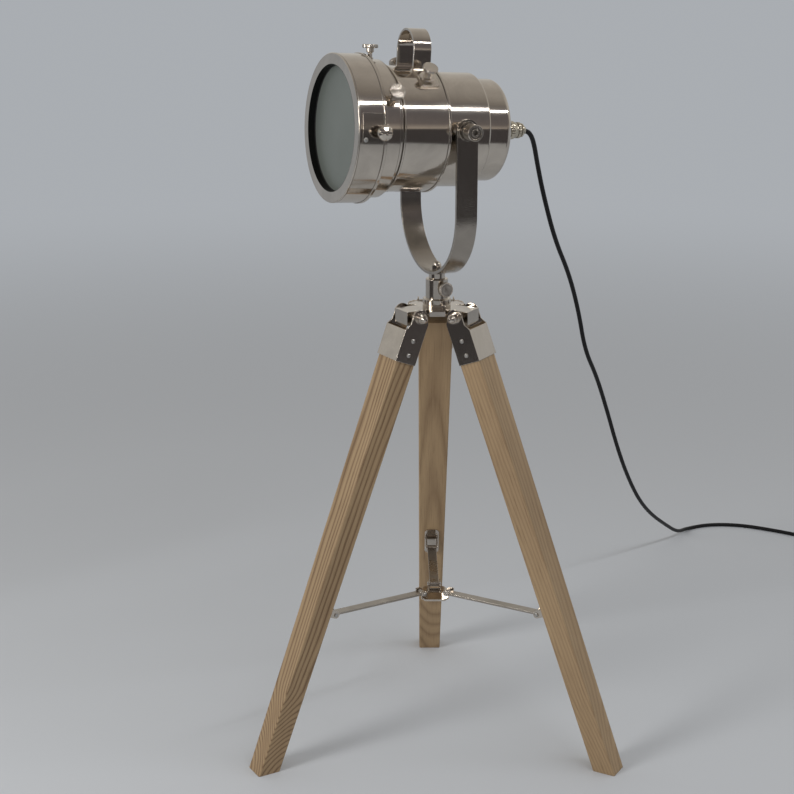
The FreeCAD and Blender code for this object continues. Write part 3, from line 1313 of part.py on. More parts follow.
def least_gap(wire):
    """The smallest distance of the coil's surface to its own other turns."""
    points = wire.discretize(Distance=2.0)
    least = 1e9
    skip = int(float(cord_radius) * 5)
    for index, point in enumerate(points):
        for other in points[index + skip:]:
            least = min(least, point.distanceToPoint(other))
    return least - 2 * float(cord_radius)


print("coil gap to itself", round(least_gap(coil_wire), 2))

# The plug on the end of the coil, lying on the floor on its side
tail_end_point = turns[-1].valueAt(turns[-1].LastParameter)
tail_direction = turns[-1].tangentAt(turns[-1].LastParameter)
plug_height = float(plug_radius) + 0.2
plug_entry = tail_end_point + Vector(tail_direction.x, tail_direction.y, 0).normalize() * float(plug_run)
plug_entry.z = plug_height
lift_points = [tail_end_point, tail_end_point + tail_direction * 18]
level = Vector(tail_direction.x, tail_direction.y, 0).normalize()
lift_points += [plug_entry - level * 18, plug_entry]
end_edges, end_radii = tube_edges(lift_points)
print("plug end radii", [round(radius) for radius in end_radii])
tail, tail_wire = round_tube(end_edges)
keep("plug_lead", feature("plug_lead", tail))
plug_outline = [(0, 0), (0, 6), (22, 8.5), (24, 15), (30, plug_radius), (50, plug_radius),
                (52, plug_radius - 1.5), (52, 0)]
plug_body = turned("plug_body", plug_outline)
plug_pins = []
for hand in (1, -1):
    plug_pins.append(cylinder(f"plug_pin_{'ab'[hand < 0]}", 2.4, 19, (52, 9.5 * hand, 0), "X"))
plug_place = Placement(plug_entry, Rotation(X_AXIS, level))
keep("mains_plug", fuse("plug_moulded", plug_body, *plug_pins), plug_place)
cord_length = hanging_wire.Length + coil_wire.Length + tail_wire.Length + root_length
print("cord length", round(cord_length))

# ---------------------------------------------------------------- checks and files
doc.recompute()
for item in doc.Objects:
    if "Invalid" in item.State or "Error" in item.State:
        raise RuntimeError(f"{item.Label} failed: {item.State}")
for item in nodes:
    if item.Shape.isNull() or not item.Shape.isValid():
        raise RuntimeError(f"{item.Label} has no valid shape")
    print(f"{item.Label:24s} solids {len(item.Shape.Solids)} volume {item.Shape.Volume / 1000:9.2f} cm3")
for item in nodes:
    item.Shape.exportStep(f"parts/{item.Label}.step")
print("nodes", len(nodes))
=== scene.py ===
"""Tripod spotlight floor lamp: finishes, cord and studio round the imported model."""
import json
import math

import bmesh
import bpy
from bpy.props import FloatProperty, FloatVectorProperty, PointerProperty
from mathutils import Euler, Matrix, Vector


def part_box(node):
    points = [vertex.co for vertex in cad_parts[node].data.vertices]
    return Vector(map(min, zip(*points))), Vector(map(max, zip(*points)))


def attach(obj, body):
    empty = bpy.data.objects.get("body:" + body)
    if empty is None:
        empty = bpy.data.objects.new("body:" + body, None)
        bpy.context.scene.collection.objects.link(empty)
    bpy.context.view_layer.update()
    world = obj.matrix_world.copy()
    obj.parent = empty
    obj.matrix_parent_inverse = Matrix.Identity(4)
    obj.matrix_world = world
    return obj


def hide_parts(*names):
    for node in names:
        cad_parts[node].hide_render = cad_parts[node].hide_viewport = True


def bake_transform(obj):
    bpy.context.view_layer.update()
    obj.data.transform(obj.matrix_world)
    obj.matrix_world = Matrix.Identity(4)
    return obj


bl_info = {
    "name": "Tripod Spotlight Lamp",
    "version": (1, 0, 0),
    "blender": (4, 5, 0),
    "location": "View3D > Sidebar > Lamp",
    "description": "Dresses the tripod spotlight lamp: polished nickel, oak, glass and cord",
    "category": "Object",
}

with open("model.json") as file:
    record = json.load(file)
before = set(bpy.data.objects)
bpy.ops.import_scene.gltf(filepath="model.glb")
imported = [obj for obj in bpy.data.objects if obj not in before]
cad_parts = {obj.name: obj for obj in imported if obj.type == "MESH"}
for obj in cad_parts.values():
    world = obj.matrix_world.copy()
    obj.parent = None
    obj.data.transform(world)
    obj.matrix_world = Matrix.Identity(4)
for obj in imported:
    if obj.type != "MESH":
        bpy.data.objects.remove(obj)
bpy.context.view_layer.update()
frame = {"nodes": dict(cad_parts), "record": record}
NODES = frame["nodes"]

# ---------------------------------------------------------------- the lamp's own frames
LEG_COMPASS = {"left": 210.0, "right": 330.0, "rear": 90.0}
FOOT_CIRCLE = 0.2945
PIVOT_CIRCLE = 0.0433
LEG_PIVOT_HEIGHT = 0.6625
LEG_THICK = 0.032
LEG_FOOT_WIDTH = 0.0345
STEM_SCREW_HEIGHT = 0.6987
STEM_SCREW_COMPASS = 300.0
HEAD_PIVOT_HEIGHT = 0.934
PIVOT_ABOVE_AXIS = 0.008
HEAD_TURN = math.radians(23.4)
HEAD_NOSE_UP = math.radians(3.3)
LEAN = math.atan2(FOOT_CIRCLE - PIVOT_CIRCLE, LEG_PIVOT_HEIGHT)


def turn(degrees, axis):
    """A turn about one axis, as a matrix."""
    return Matrix.Rotation(math.radians(degrees), 4, axis)


def axis_offset():
    """How far the tripod's axis stands behind the middle of the feet, along Y."""
    sole_reach = FOOT_CIRCLE + LEG_THICK / 2 / math.cos(LEAN)
    front = sole_reach * math.sin(math.radians(30))
    front += LEG_FOOT_WIDTH / 2 * math.cos(math.radians(30))
    return -(sole_reach - front) / 2


AXIS = Vector((0, axis_offset(), 0))
YOKE = Matrix.Translation(AXIS) @ Matrix.Rotation(math.pi + HEAD_TURN, 4, "Z")
TILT_PIVOT = YOKE @ Matrix.Translation((0, 0, HEAD_PIVOT_HEIGHT))
TILT_AXIS = TILT_PIVOT @ turn(90, "Z")
HEAD = TILT_PIVOT @ Matrix.Rotation(-HEAD_NOSE_UP, 4, "Y")
HEAD = HEAD @ Matrix.Translation((0, 0, -PIVOT_ABOVE_AXIS))
STEM_SCREW = Matrix.Translation(AXIS + Vector((0, 0, STEM_SCREW_HEIGHT)))
STEM_SCREW = STEM_SCREW @ turn(STEM_SCREW_COMPASS, "Z")


def leg_matrix(side):
    """A leg's own frame: origin at its pivot, Z up along the leg, X to its outer face."""
    out = Matrix.Translation(AXIS) @ turn(LEG_COMPASS[side], "Z")
    out = out @ Matrix.Translation((PIVOT_CIRCLE, 0, LEG_PIVOT_HEIGHT))
    return out @ Matrix.Rotation(-LEAN, 4, "Y")


def on_drum(station, degrees):
    """A frame on the head's axis whose X points out of the drum, at an angle from the top."""
    return HEAD @ Matrix.Translation((station, 0, 0)) @ turn(-degrees, "X") @ turn(-90, "Y")


# ---------------------------------------------------------------- sizes and colours
class LampCord(bpy.types.PropertyGroup):
    """The mains cord and the coil of its put-away length."""

    diameter: FloatProperty(name="Diameter", description="Outer diameter of the cord's sheath",
                            default=0.007, subtype="DISTANCE")
    coil_radius: FloatProperty(name="Coil radius", description="Outer turn of the coil",
                               default=0.044, subtype="DISTANCE")
    coil_pitch: FloatProperty(name="Coil pitch", description="Spacing of the coil's turns",
                              default=0.0076, subtype="DISTANCE")
    coil_turns: FloatProperty(name="Coil turns",
                              description="Turns of the coil, half in each layer", default=3.0)


class LampFinish(bpy.types.PropertyGroup):
    """Colours and polish of the lamp."""

    nickel: FloatVectorProperty(name="Nickel", description="Colour of the polished nickel plate",
                                default=(0.6, 0.545, 0.48), subtype="COLOR", min=0, max=1)
    nickel_roughness: FloatProperty(name="Nickel roughness", description="Polish of the plate",
                                    default=0.07, min=0, max=1)
    oak_light: FloatVectorProperty(name="Oak, early wood",
                                   description="Lighter colour of the grain",
                                   default=(0.46, 0.325, 0.185), subtype="COLOR", min=0, max=1)
    oak_dark: FloatVectorProperty(name="Oak, late wood", description="Darker colour of the grain",
                                  default=(0.17, 0.1, 0.048), subtype="COLOR", min=0, max=1)
    glass: FloatVectorProperty(name="Glass", description="Tint of the frosted front glass",
                               default=(0.15, 0.17, 0.157), subtype="COLOR", min=0, max=1)
    cord: FloatVectorProperty(name="Cord", description="Colour of the cord's sheath",
                              default=(0.008, 0.008, 0.009), subtype="COLOR", min=0, max=1)


class LampStudio(bpy.types.PropertyGroup):
    """The camera and the lamps."""

    focal_length: FloatProperty(name="Focal length", description="Lens, on a 36 mm sensor, in mm",
                                default=74.51)
    strip_power: FloatProperty(name="Strip power", description="Power of the long soft lamp",
                               default=21.0, unit="POWER")
    fill_power: FloatProperty(name="Fill power", description="Power of the soft lamp at the left",
                              default=28.0, unit="POWER")
    sky: FloatProperty(name="Sky", description="Strength of the soft light from all round",
                       default=1.1)


# ---------------------------------------------------------------- shader nodes
def add(tree, kind, inputs=None, **settings):
    """A node with its settings and inputs; an input is a value or another node's socket."""
    node = tree.nodes.new(kind)
    for name, value in settings.items():
        setattr(node, name, value)
    for name, value in (inputs or {}).items():
        if isinstance(value, bpy.types.NodeSocket):
            tree.links.new(value, node.inputs[name])
        else:
            node.inputs[name].default_value = value
    return node


def maths(tree, operation, first, second=None, clamp=False):
    """The result of a Math node; each argument is a value or a socket."""
    inputs = {0: first} if second is None else {0: first, 1: second}
    node = add(tree, "ShaderNodeMath", inputs, operation=operation, use_clamp=clamp)
    return node.outputs[0]


def blend_colours(tree, factor, first, second):
    """A colour mix; each argument is a value or a socket."""
    node = add(tree, "ShaderNodeMix", {0: factor, 6: first, 7: second}, data_type="RGBA")
    return node.outputs[2]


def blend_values(tree, factor, first, second):
    """A mix of two numbers; each argument is a value or a socket."""
    return add(tree, "ShaderNodeMix", {0: factor, 2: first, 3: second}).outputs[0]


def noise(tree, vector, scale, detail, roughness=0.5, distortion=0.0):
    """A noise texture's value."""
    node = add(tree, "ShaderNodeTexNoise", {"Vector": vector, "Scale": scale, "Detail": detail,
                                            "Roughness": roughness, "Distortion": distortion})
    return node.outputs["Fac"]


def stretch(tree, vector, scale):
    """Coordinates scaled by a different amount along each axis."""
    return add(tree, "ShaderNodeMapping", {"Vector": vector, "Scale": scale}).outputs["Vector"]


def length(tree, vector):
    """The length of a vector."""
    return add(tree, "ShaderNodeVectorMath", {0: vector}, operation="LENGTH").outputs["Value"]


def ramp(tree, source, stops):
    """A ramp of (position, value) stops; a value is a grey or a colour."""
    node = add(tree, "ShaderNodeValToRGB", {"Fac": source})
    elements = node.color_ramp.elements
    while len(elements) < len(stops):
        elements.new(0.5)
    for element, (position, value) in zip(elements, stops):
        element.position = position
        element.color = (*value, 1) if isinstance(value, tuple) else (value, value, value, 1)
    return node.outputs["Color"]


def step(tree, value, low, high):
    """A mask that rises from 0 to 1 between two values."""
    return add(tree, "ShaderNodeMapRange", {"Value": value, "From Min": low, "From Max": high},
               interpolation_type="SMOOTHSTEP").outputs["Result"]


def between(tree, mask, low, high):
    """A number that goes from low to high as a mask goes from 0 to 1."""
    return add(tree, "ShaderNodeMapRange",
               {"Value": mask, "To Min": low, "To Max": high}).outputs["Result"]


# ---------------------------------------------------------------- shader node groups
def new_group(name, inputs, outputs):
    """An empty shader node group with named inputs and outputs."""
    group = bpy.data.node_groups.new(name, "ShaderNodeTree")
    for label, kind, value in inputs:
        socket = group.interface.new_socket(label, in_out="INPUT", socket_type=kind)
        if value is not None:
            socket.default_value = value
    for label, kind in outputs:
        group.interface.new_socket(label, in_out="OUTPUT", socket_type=kind)
    start = group.nodes.new("NodeGroupInput")
    end = group.nodes.new("NodeGroupOutput")
    return group, start.outputs, end


def close_group(group, end, results):
    """Link a group's results to its outputs."""
    for label, socket in results.items():
        group.links.new(socket, end.inputs[label])
    return group


FINE_LINE_SHARE = 0.16


def scuff_group():
    """Fine lines, smears and faint dents of a handled, polished surface."""
    group, given, end = new_group(
        "Handled Polish",
        [("Vector", "NodeSocketVector", None),
         ("Lines", "NodeSocketVector", (60.0, 900.0, 900.0))],
        [("Smear", "NodeSocketFloat"), ("Height", "NodeSocketFloat")])
    vector = given["Vector"]
    smears = noise(group, vector, 22.0, 5.0, 0.62, 0.6)
    lines = noise(group, stretch(group, vector, given["Lines"]), 1.0, 3.0, 0.6)
    dents = noise(group, vector, 9.0, 2.0)
    smear = ramp(group, smears, ((0.35, 0.0), (0.75, 1.0)))
    fine = maths(group, "MULTIPLY", lines, FINE_LINE_SHARE)
    return close_group(group, end, {"Smear": smear, "Height": maths(group, "ADD", dents, fine)})


RING_PROFILE = ((0.0, 1.0), (0.14, 0.5), (0.4, 0.0), (0.75, 0.12), (1.0, 1.0))
RING_TAPER = 0.012
RING_WANDER = 0.02
DIP_START, DIP_END = -0.57, -0.72  # along the leg, from its pivot
TONE_SHARE = 0.24
PORE_SHARE = 0.34
OAK_ROUGH, OAK_ROUGH_SPAN = 0.46, 0.18


def oak_group():
    """Oak grain along local Z: growth rings, darker pores and broad changes of colour."""
    group, given, end = new_group(
        "Oak Grain",
        [("Vector", "NodeSocketVector", None), ("Light", "NodeSocketColor", None),
         ("Dark", "NodeSocketColor", None), ("Pith", "NodeSocketVector", None),
         ("Foot Dip", "NodeSocketFloat", 0.0), ("Rings", "NodeSocketFloat", 200.0),
         ("Contrast", "NodeSocketFloat", 0.6)],
        [("Color", "NodeSocketColor"), ("Height", "NodeSocketFloat"),
         ("Roughness", "NodeSocketFloat")])
    moved = add(group, "ShaderNodeVectorMath", {0: given["Vector"], 1: given["Pith"]},
                operation="ADD").outputs[0]
    slow = stretch(group, moved, (7.0, 7.0, 1.6))
    drift = noise(group, slow, 1.0, 3.0, 0.55)
    split = add(group, "ShaderNodeSeparateXYZ", {"Vector": moved}).outputs
    flat = add(group, "ShaderNodeCombineXYZ", {"X": split["X"], "Y": split["Y"]}).outputs[0]
    cone = maths(group, "MULTIPLY", split["Z"], RING_TAPER)
    rise = maths(group, "ADD", length(group, flat), cone)
    height = add(group, "ShaderNodeSeparateXYZ", {"Vector": given["Vector"]}).outputs["Z"]
    dip = maths(group, "MULTIPLY", step(group, height, DIP_START, DIP_END), given["Foot Dip"])
    rise = maths(group, "ADD", rise, dip)
    rise = maths(group, "ADD", rise, maths(group, "MULTIPLY", drift, RING_WANDER))
    turns = maths(group, "MULTIPLY", rise, given["Rings"])
    ring = ramp(group, maths(group, "FRACT", turns), RING_PROFILE)
    fibres = noise(group, stretch(group, moved, (900.0, 900.0, 22.0)), 1.0, 4.0, 0.65)
    pores = ramp(group, fibres, ((0.52, 0.0), (0.68, 1.0)))
    pored = maths(group, "MULTIPLY", pores, PORE_SHARE)
    tone = ramp(group, noise(group, slow, 2.7, 2.0), ((0.3, 0.0), (0.7, 1.0)))
    dark = maths(group, "MULTIPLY", ring, given["Contrast"])
    dark = maths(group, "ADD", dark, maths(group, "MULTIPLY", tone, TONE_SHARE))
    dark = maths(group, "ADD", dark, pored, clamp=True)
    rough = maths(group, "ADD", maths(group, "MULTIPLY", dark, OAK_ROUGH_SPAN), OAK_ROUGH)
    return close_group(group, end, {
        "Color": blend_colours(group, dark, given["Light"], given["Dark"]),
        "Height": maths(group, "SUBTRACT", 1.0, pored), "Roughness": rough})


def axis_group():
    """Station along and radius about local X, and the vector across it."""
    group, given, end = new_group(
        "Round Axis", [("Vector", "NodeSocketVector", None)],
        [("Station", "NodeSocketFloat"), ("Radius", "NodeSocketFloat"),
         ("Across", "NodeSocketVector")])
    split = add(group, "ShaderNodeSeparateXYZ", {"Vector": given["Vector"]}).outputs
    across = add(group, "ShaderNodeCombineXYZ", {"X": split["Y"], "Y": split["Z"]}).outputs[0]
    return close_group(group, end, {"Station": split["X"], "Radius": length(group, across),
                                    "Across": across})


EDGE_FLAT, EDGE_SHARP = 0.99, 0.8  # how far the eased and the flat normal agree


def edge_group():
    """Edges: a mask that is 1 on an edge, for worn oak and for a painted highlight on metal, and
    the normal of the eased edge.
    """
    group, given, end = new_group("Edge Wear and Painted Highlight", [("Reach", "NodeSocketFloat", 0.0008)],
                                  [("Mask", "NodeSocketFloat"), ("Normal", "NodeSocketVector")])
    eased = add(group, "ShaderNodeBevel", {"Radius": given["Reach"]}, samples=4).outputs["Normal"]
    flat = add(group, "ShaderNodeNewGeometry").outputs["Normal"]
    bend = add(group, "ShaderNodeVectorMath", {0: eased, 1: flat}, operation="DOT_PRODUCT")
    mask = add(group, "ShaderNodeMapRange", {"Value": bend.outputs["Value"],
                                             "From Min": EDGE_FLAT, "From Max": EDGE_SHARP})
    return close_group(group, end, {"Mask": mask.outputs["Result"], "Normal": eased})


def line_group():
    """A soft line where a value passes a given place: 1 on the line, 0 beside it."""
    group, given, end = new_group(
        "Fine Line",
        [("Value", "NodeSocketFloat", 0.0), ("At", "NodeSocketFloat", 0.0),
         ("Width", "NodeSocketFloat", 0.001)],
        [("Mask", "NodeSocketFloat")])
    away = maths(group, "ABSOLUTE", maths(group, "SUBTRACT", given["Value"], given["At"]))
    return close_group(group, end, {"Mask": step(group, away, given["Width"], 0.0)})


def knurl_group():
    """Fine teeth round an axis outside a radius, and turning marks inside it."""
    group, given, end = new_group(
        "Knurled Rim",
        [("Across", "NodeSocketVector", None), ("Radius", "NodeSocketFloat", 0.0),
         ("Teeth", "NodeSocketFloat", 34.0), ("Inner", "NodeSocketFloat", 0.0096)],
        [("Height", "NodeSocketFloat")])
    angle = add(group, "ShaderNodeTexGradient", {"Vector": given["Across"]},
                gradient_type="RADIAL").outputs["Fac"]
    tooth = maths(group, "PINGPONG", maths(group, "MULTIPLY", angle, given["Teeth"]), 0.5)
    outside = maths(group, "GREATER_THAN", given["Radius"], given["Inner"])
    marks = add(group, "ShaderNodeTexNoise",
                {"W": given["Radius"], "Scale": 1400.0, "Detail": 2.0},
                noise_dimensions="1D").outputs["Fac"]
    fine = maths(group, "MULTIPLY", marks, 0.3)
    return close_group(group, end, {"Height": blend_values(group, outside, fine, tooth)})


# ---------------------------------------------------------------- materials
BRASS = (0.58, 0.53, 0.43)
STEEL = (0.5, 0.49, 0.47)
# painted shade laid along seams and knob rings
SEAM_PAINTED_SHADE = (0.05, 0.045, 0.04)
# painted shade on the bezel's inner wall round the glass
MOUTH_PAINTED_SHADE = (0.02, 0.021, 0.02)
TURNING_MARKS = (1100.0, 14.0, 14.0)
SMEAR_ROUGHER = 1.9
# painted highlight: how much lighter the edges of metal are painted
EDGE_PAINTED_HIGHLIGHT = 1.35
DENT_DEPTH = 0.004
TOOTH_DEPTH = 0.0006
PORE_DEPTH = 0.0006
SHEATH_DEPTH = 0.0005
OAK_EDGE = 0.0022
OAK_WEAR = 0.4
OAK_WORN_LIGHTER = 1.25
GROUPS = {}
MATERIALS = {}


def new_material(name, **values):
    """A material with a Principled shader and Object coordinates."""
    material = bpy.data.materials.new(name)
    material.use_nodes = True
    tree = material.node_tree
    shader = tree.nodes["Principled BSDF"]
    for label, value in values.items():
        shader.inputs[label.replace("_", " ")].default_value = value
    coordinates = add(tree, "ShaderNodeTexCoord")
    return material, tree, shader, coordinates.outputs["Object"]


def scaled(colour, share):
    """A colour made lighter or darker by a share."""
    return tuple(min(channel * share, 1.0) for channel in colour)


def shared(tree, name, inputs=None):
    """One of the shared node groups, with this material's own values."""
    return add(tree, "ShaderNodeGroup", inputs, node_tree=GROUPS[name])


def local_to(tree, vector, place):
    """Coordinates read in a place's own frame."""
    return add(tree, "ShaderNodeMapping",
               {"Vector": vector, "Location": place.translation, "Rotation": place.to_euler()},
               vector_type="TEXTURE").outputs["Vector"]


def round_axis(tree, place):
    """Station, Radius and Across about the axis that is a place's local X."""
    vector = tree.nodes["Texture Coordinate"].outputs["Object"]
    return shared(tree, "axis", {"Vector": local_to(tree, vector, place)}).outputs


def emboss(tree, shader, height, strength, depth, normal=None):
    """Raise a surface by a height that varies over it, on top of a normal if one is given."""
    inputs = {"Height": height, "Strength": strength, "Distance": depth}
    if normal is not None:
        inputs["Normal"] = normal
    relief = add(tree, "ShaderNodeBump", inputs)
    tree.links.new(relief.outputs["Normal"], shader.inputs["Normal"])


def paint_shade(material, mask, shade=SEAM_PAINTED_SHADE, roughness=0.5):
    """Lay painted shade over a metal where a mask is 1."""
    tree = material.node_tree
    inputs = tree.nodes["Principled BSDF"].inputs
    clean = inputs["Base Color"].links[0].from_socket
    tree.links.new(blend_colours(tree, mask, clean, (*shade, 1)), inputs["Base Color"])
    smooth = inputs["Roughness"].links[0].from_socket
    tree.links.new(blend_values(tree, mask, smooth, roughness), inputs["Roughness"])
    return material


def shade_lined(material, place, lines, about="Station", strength=0.8):
    """Lines of painted shade along the seams: (where, half width) of each, along or about an axis.
    """
    tree = material.node_tree
    value = round_axis(tree, place)[about]
    total = None
    for where, width in lines:
        line = shared(tree, "line", {"Value": value, "At": where, "Width": width})
        mask = line.outputs["Mask"]
        total = mask if total is None else maths(tree, "MAXIMUM", total, mask)
    return paint_shade(material, maths(tree, "MULTIPLY", total, strength))


def knurled(material, place, teeth, inner):
    """Cut fine teeth into a metal round its axis, and turning marks on its face."""
    tree = material.node_tree
    shader = tree.nodes["Principled BSDF"]
    axis = round_axis(tree, place)
    rim = shared(tree, "knurl", {"Across": axis["Across"], "Radius": axis["Radius"],
                                 "Teeth": teeth, "Inner": inner})
    normal = shader.inputs["Normal"].links[0].from_socket
    emboss(tree, shader, rim.outputs["Height"], 1.0, TOOTH_DEPTH, normal)
    return material


def polished_metal(name, colour, roughness, dark=0.8, bump=0.05, place=None):
    """Metal with smears, faint dents and fine lines, which run round a place's X if given."""
    material, tree, shader, vector = new_material(name, Metallic=1.0)
    inputs = {"Vector": vector}
    if place is not None:
        inputs = {"Vector": local_to(tree, vector, place), "Lines": TURNING_MARKS}
    scuffs = shared(tree, "scuffs", inputs).outputs
    tinted = blend_colours(tree, scuffs["Smear"], (*colour, 1), (*scaled(colour, dark), 1))
    rough = between(tree, scuffs["Smear"], roughness, roughness * SMEAR_ROUGHER)
    tree.links.new(rough, shader.inputs["Roughness"])
    edge = shared(tree, "edge").outputs
    # edges of the metal painted lighter: a painted highlight
    tinted = blend_colours(tree, edge["Mask"], tinted, (*scaled(colour, EDGE_PAINTED_HIGHLIGHT), 1))
    tree.links.new(tinted, shader.inputs["Base Color"])
    emboss(tree, shader, scuffs["Height"], bump, DENT_DEPTH, edge["Normal"])
    return material


def oak(side, grain_values, finish):
    """Oak whose grain follows one leg."""
    material, tree, shader, vector = new_material(f"Oak {side.title()} Leg")
    inputs = {"Vector": local_to(tree, vector, leg_matrix(side)),
              "Light": (*finish.oak_light, 1), "Dark": (*finish.oak_dark, 1)}
    inputs.update(zip(("Pith", "Foot Dip", "Rings", "Contrast"), grain_values))
    grain = shared(tree, "oak", inputs).outputs
    edge = shared(tree, "edge", {"Reach": OAK_EDGE}).outputs
    worn = maths(tree, "MULTIPLY", edge["Mask"], OAK_WEAR)
    bare = (*scaled(finish.oak_light, OAK_WORN_LIGHTER), 1)
    colour = blend_colours(tree, worn, grain["Color"], bare)
    tree.links.new(colour, shader.inputs["Base Color"])
    tree.links.new(grain["Roughness"], shader.inputs["Roughness"])
    emboss(tree, shader, grain["Height"], 0.35, PORE_DEPTH, edge["Normal"])
    return material


def soft_plastic(name, colour, roughness, grain=500.0, bump=0.1, gloss=0.5):
    """Moulded plastic or rubber with a fine texture."""
    material, tree, shader, vector = new_material(name, Specular_IOR_Level=gloss)
    specks = noise(tree, vector, grain, 3.0)
    lift = blend_colours(tree, specks, (*colour, 1), (*scaled(colour, 1.5), 1))
    tree.links.new(lift, shader.inputs["Base Color"])
    rough = between(tree, specks, roughness * 0.85, roughness * 1.15)
    tree.links.new(rough, shader.inputs["Roughness"])
    emboss(tree, shader, specks, bump, SHEATH_DEPTH)
    return material


def frosted_glass(colour):
    """Grey-green frosted glass that shows nothing sharp behind it."""
    material, tree, shader, vector = new_material("Frosted Glass", IOR=1.5)
    cloud = noise(tree, vector, 14.0, 4.0)
    tinted = blend_colours(tree, cloud, (*colour, 1), (*scaled(colour, 0.82), 1))
    tree.links.new(tinted, shader.inputs["Base Color"])
    tree.links.new(between(tree, cloud, 0.3, 0.42), shader.inputs["Roughness"])
    return material


# ---------------------------------------------------------------- finishes of the pieces
# seams, each drawn as a line of painted shade: where along the head's axis, half width
BEZEL_SEAMS = ((0.0986, 0.0009), (0.1209, 0.0013), (0.1258, 0.0009), (0.1606, 0.0007))
FRONT_DRUM_SEAMS = ((0.0234, 0.0008), (0.0876, 0.0011), (0.0914, 0.0008), (0.0978, 0.0012))
REAR_DRUM_SEAMS = ((0.0194, 0.0009), (-0.0458, 0.001), (-0.0824, 0.0008))
CAP_SEAMS = ((-0.1247, 0.0008), (-0.1308, 0.0009))
# rings of painted shade on the tilt knobs, a dark middle and two rings: radius, half width
KNOB_RINGS = ((0.0, 0.0052), (0.0074, 0.0007), (0.0102, 0.0006))
# inside this radius the bezel's wall is painted dark as painted shade
MOUTH_RADIUS = 0.087
MOUTH_EASE = 0.0002
BEZEL_SCREWS = 0.107  # along the head's axis
HANDLE_SCREWS = 0.0435
SCREW_TEETH, SCREW_INNER = 34.0, 0.0096
GLAND_TEETH, NUT_INNER, CAP_INNER = 30.0, 0.0125, 0.0112
KNURLS = {  # axis, teeth, radius inside which the face is plain
    "gland_nut": (HEAD, GLAND_TEETH, NUT_INNER),
    "bezel_screw_top": (on_drum(BEZEL_SCREWS, -3), SCREW_TEETH, SCREW_INNER),
    "bezel_screw_near": (on_drum(BEZEL_SCREWS, 58), SCREW_TEETH, SCREW_INNER),
    "bezel_screw_far": (on_drum(BEZEL_SCREWS, -58), SCREW_TEETH, SCREW_INNER),
    "handle_screw_near": (on_drum(HANDLE_SCREWS, 33), SCREW_TEETH, SCREW_INNER),
    "handle_screw_far": (on_drum(HANDLE_SCREWS, -33), SCREW_TEETH, SCREW_INNER),
    "stem_screw": (STEM_SCREW, SCREW_TEETH, SCREW_INNER),
}
GRAINS = {  # pith, dip near the foot, rings per metre, contrast
    "left": ((0.034, 0.03, 0.1), -0.052, 215.0, 0.78),
    "right": ((0.06, -0.034, 0.35), -0.012, 240.0, 0.34),
    "rear": ((-0.052, 0.004, 0.6), 0.02, 215.0, 0.42),
}


def painted_shade_mouth(colour, roughness):
    """The bezel's plate, its inner wall round the glass painted dark as painted shade."""
    material = polished_metal("Bezel Nickel", colour, roughness, place=HEAD)
    # lines of painted shade along the bezel's seams
    shade_lined(material, HEAD, BEZEL_SEAMS)
    tree = material.node_tree
    # the inner wall round the glass is painted dark: painted shade
    inside = step(tree, round_axis(tree, HEAD)["Radius"], MOUTH_RADIUS + MOUTH_EASE,
                  MOUTH_RADIUS - MOUTH_EASE)
    return paint_shade(material, inside, MOUTH_PAINTED_SHADE, 0.55)


def dress(node, material):
    """Give a CAD node one finish."""
    slots = NODES[node].data.materials
    slots.clear()
    slots.append(material)


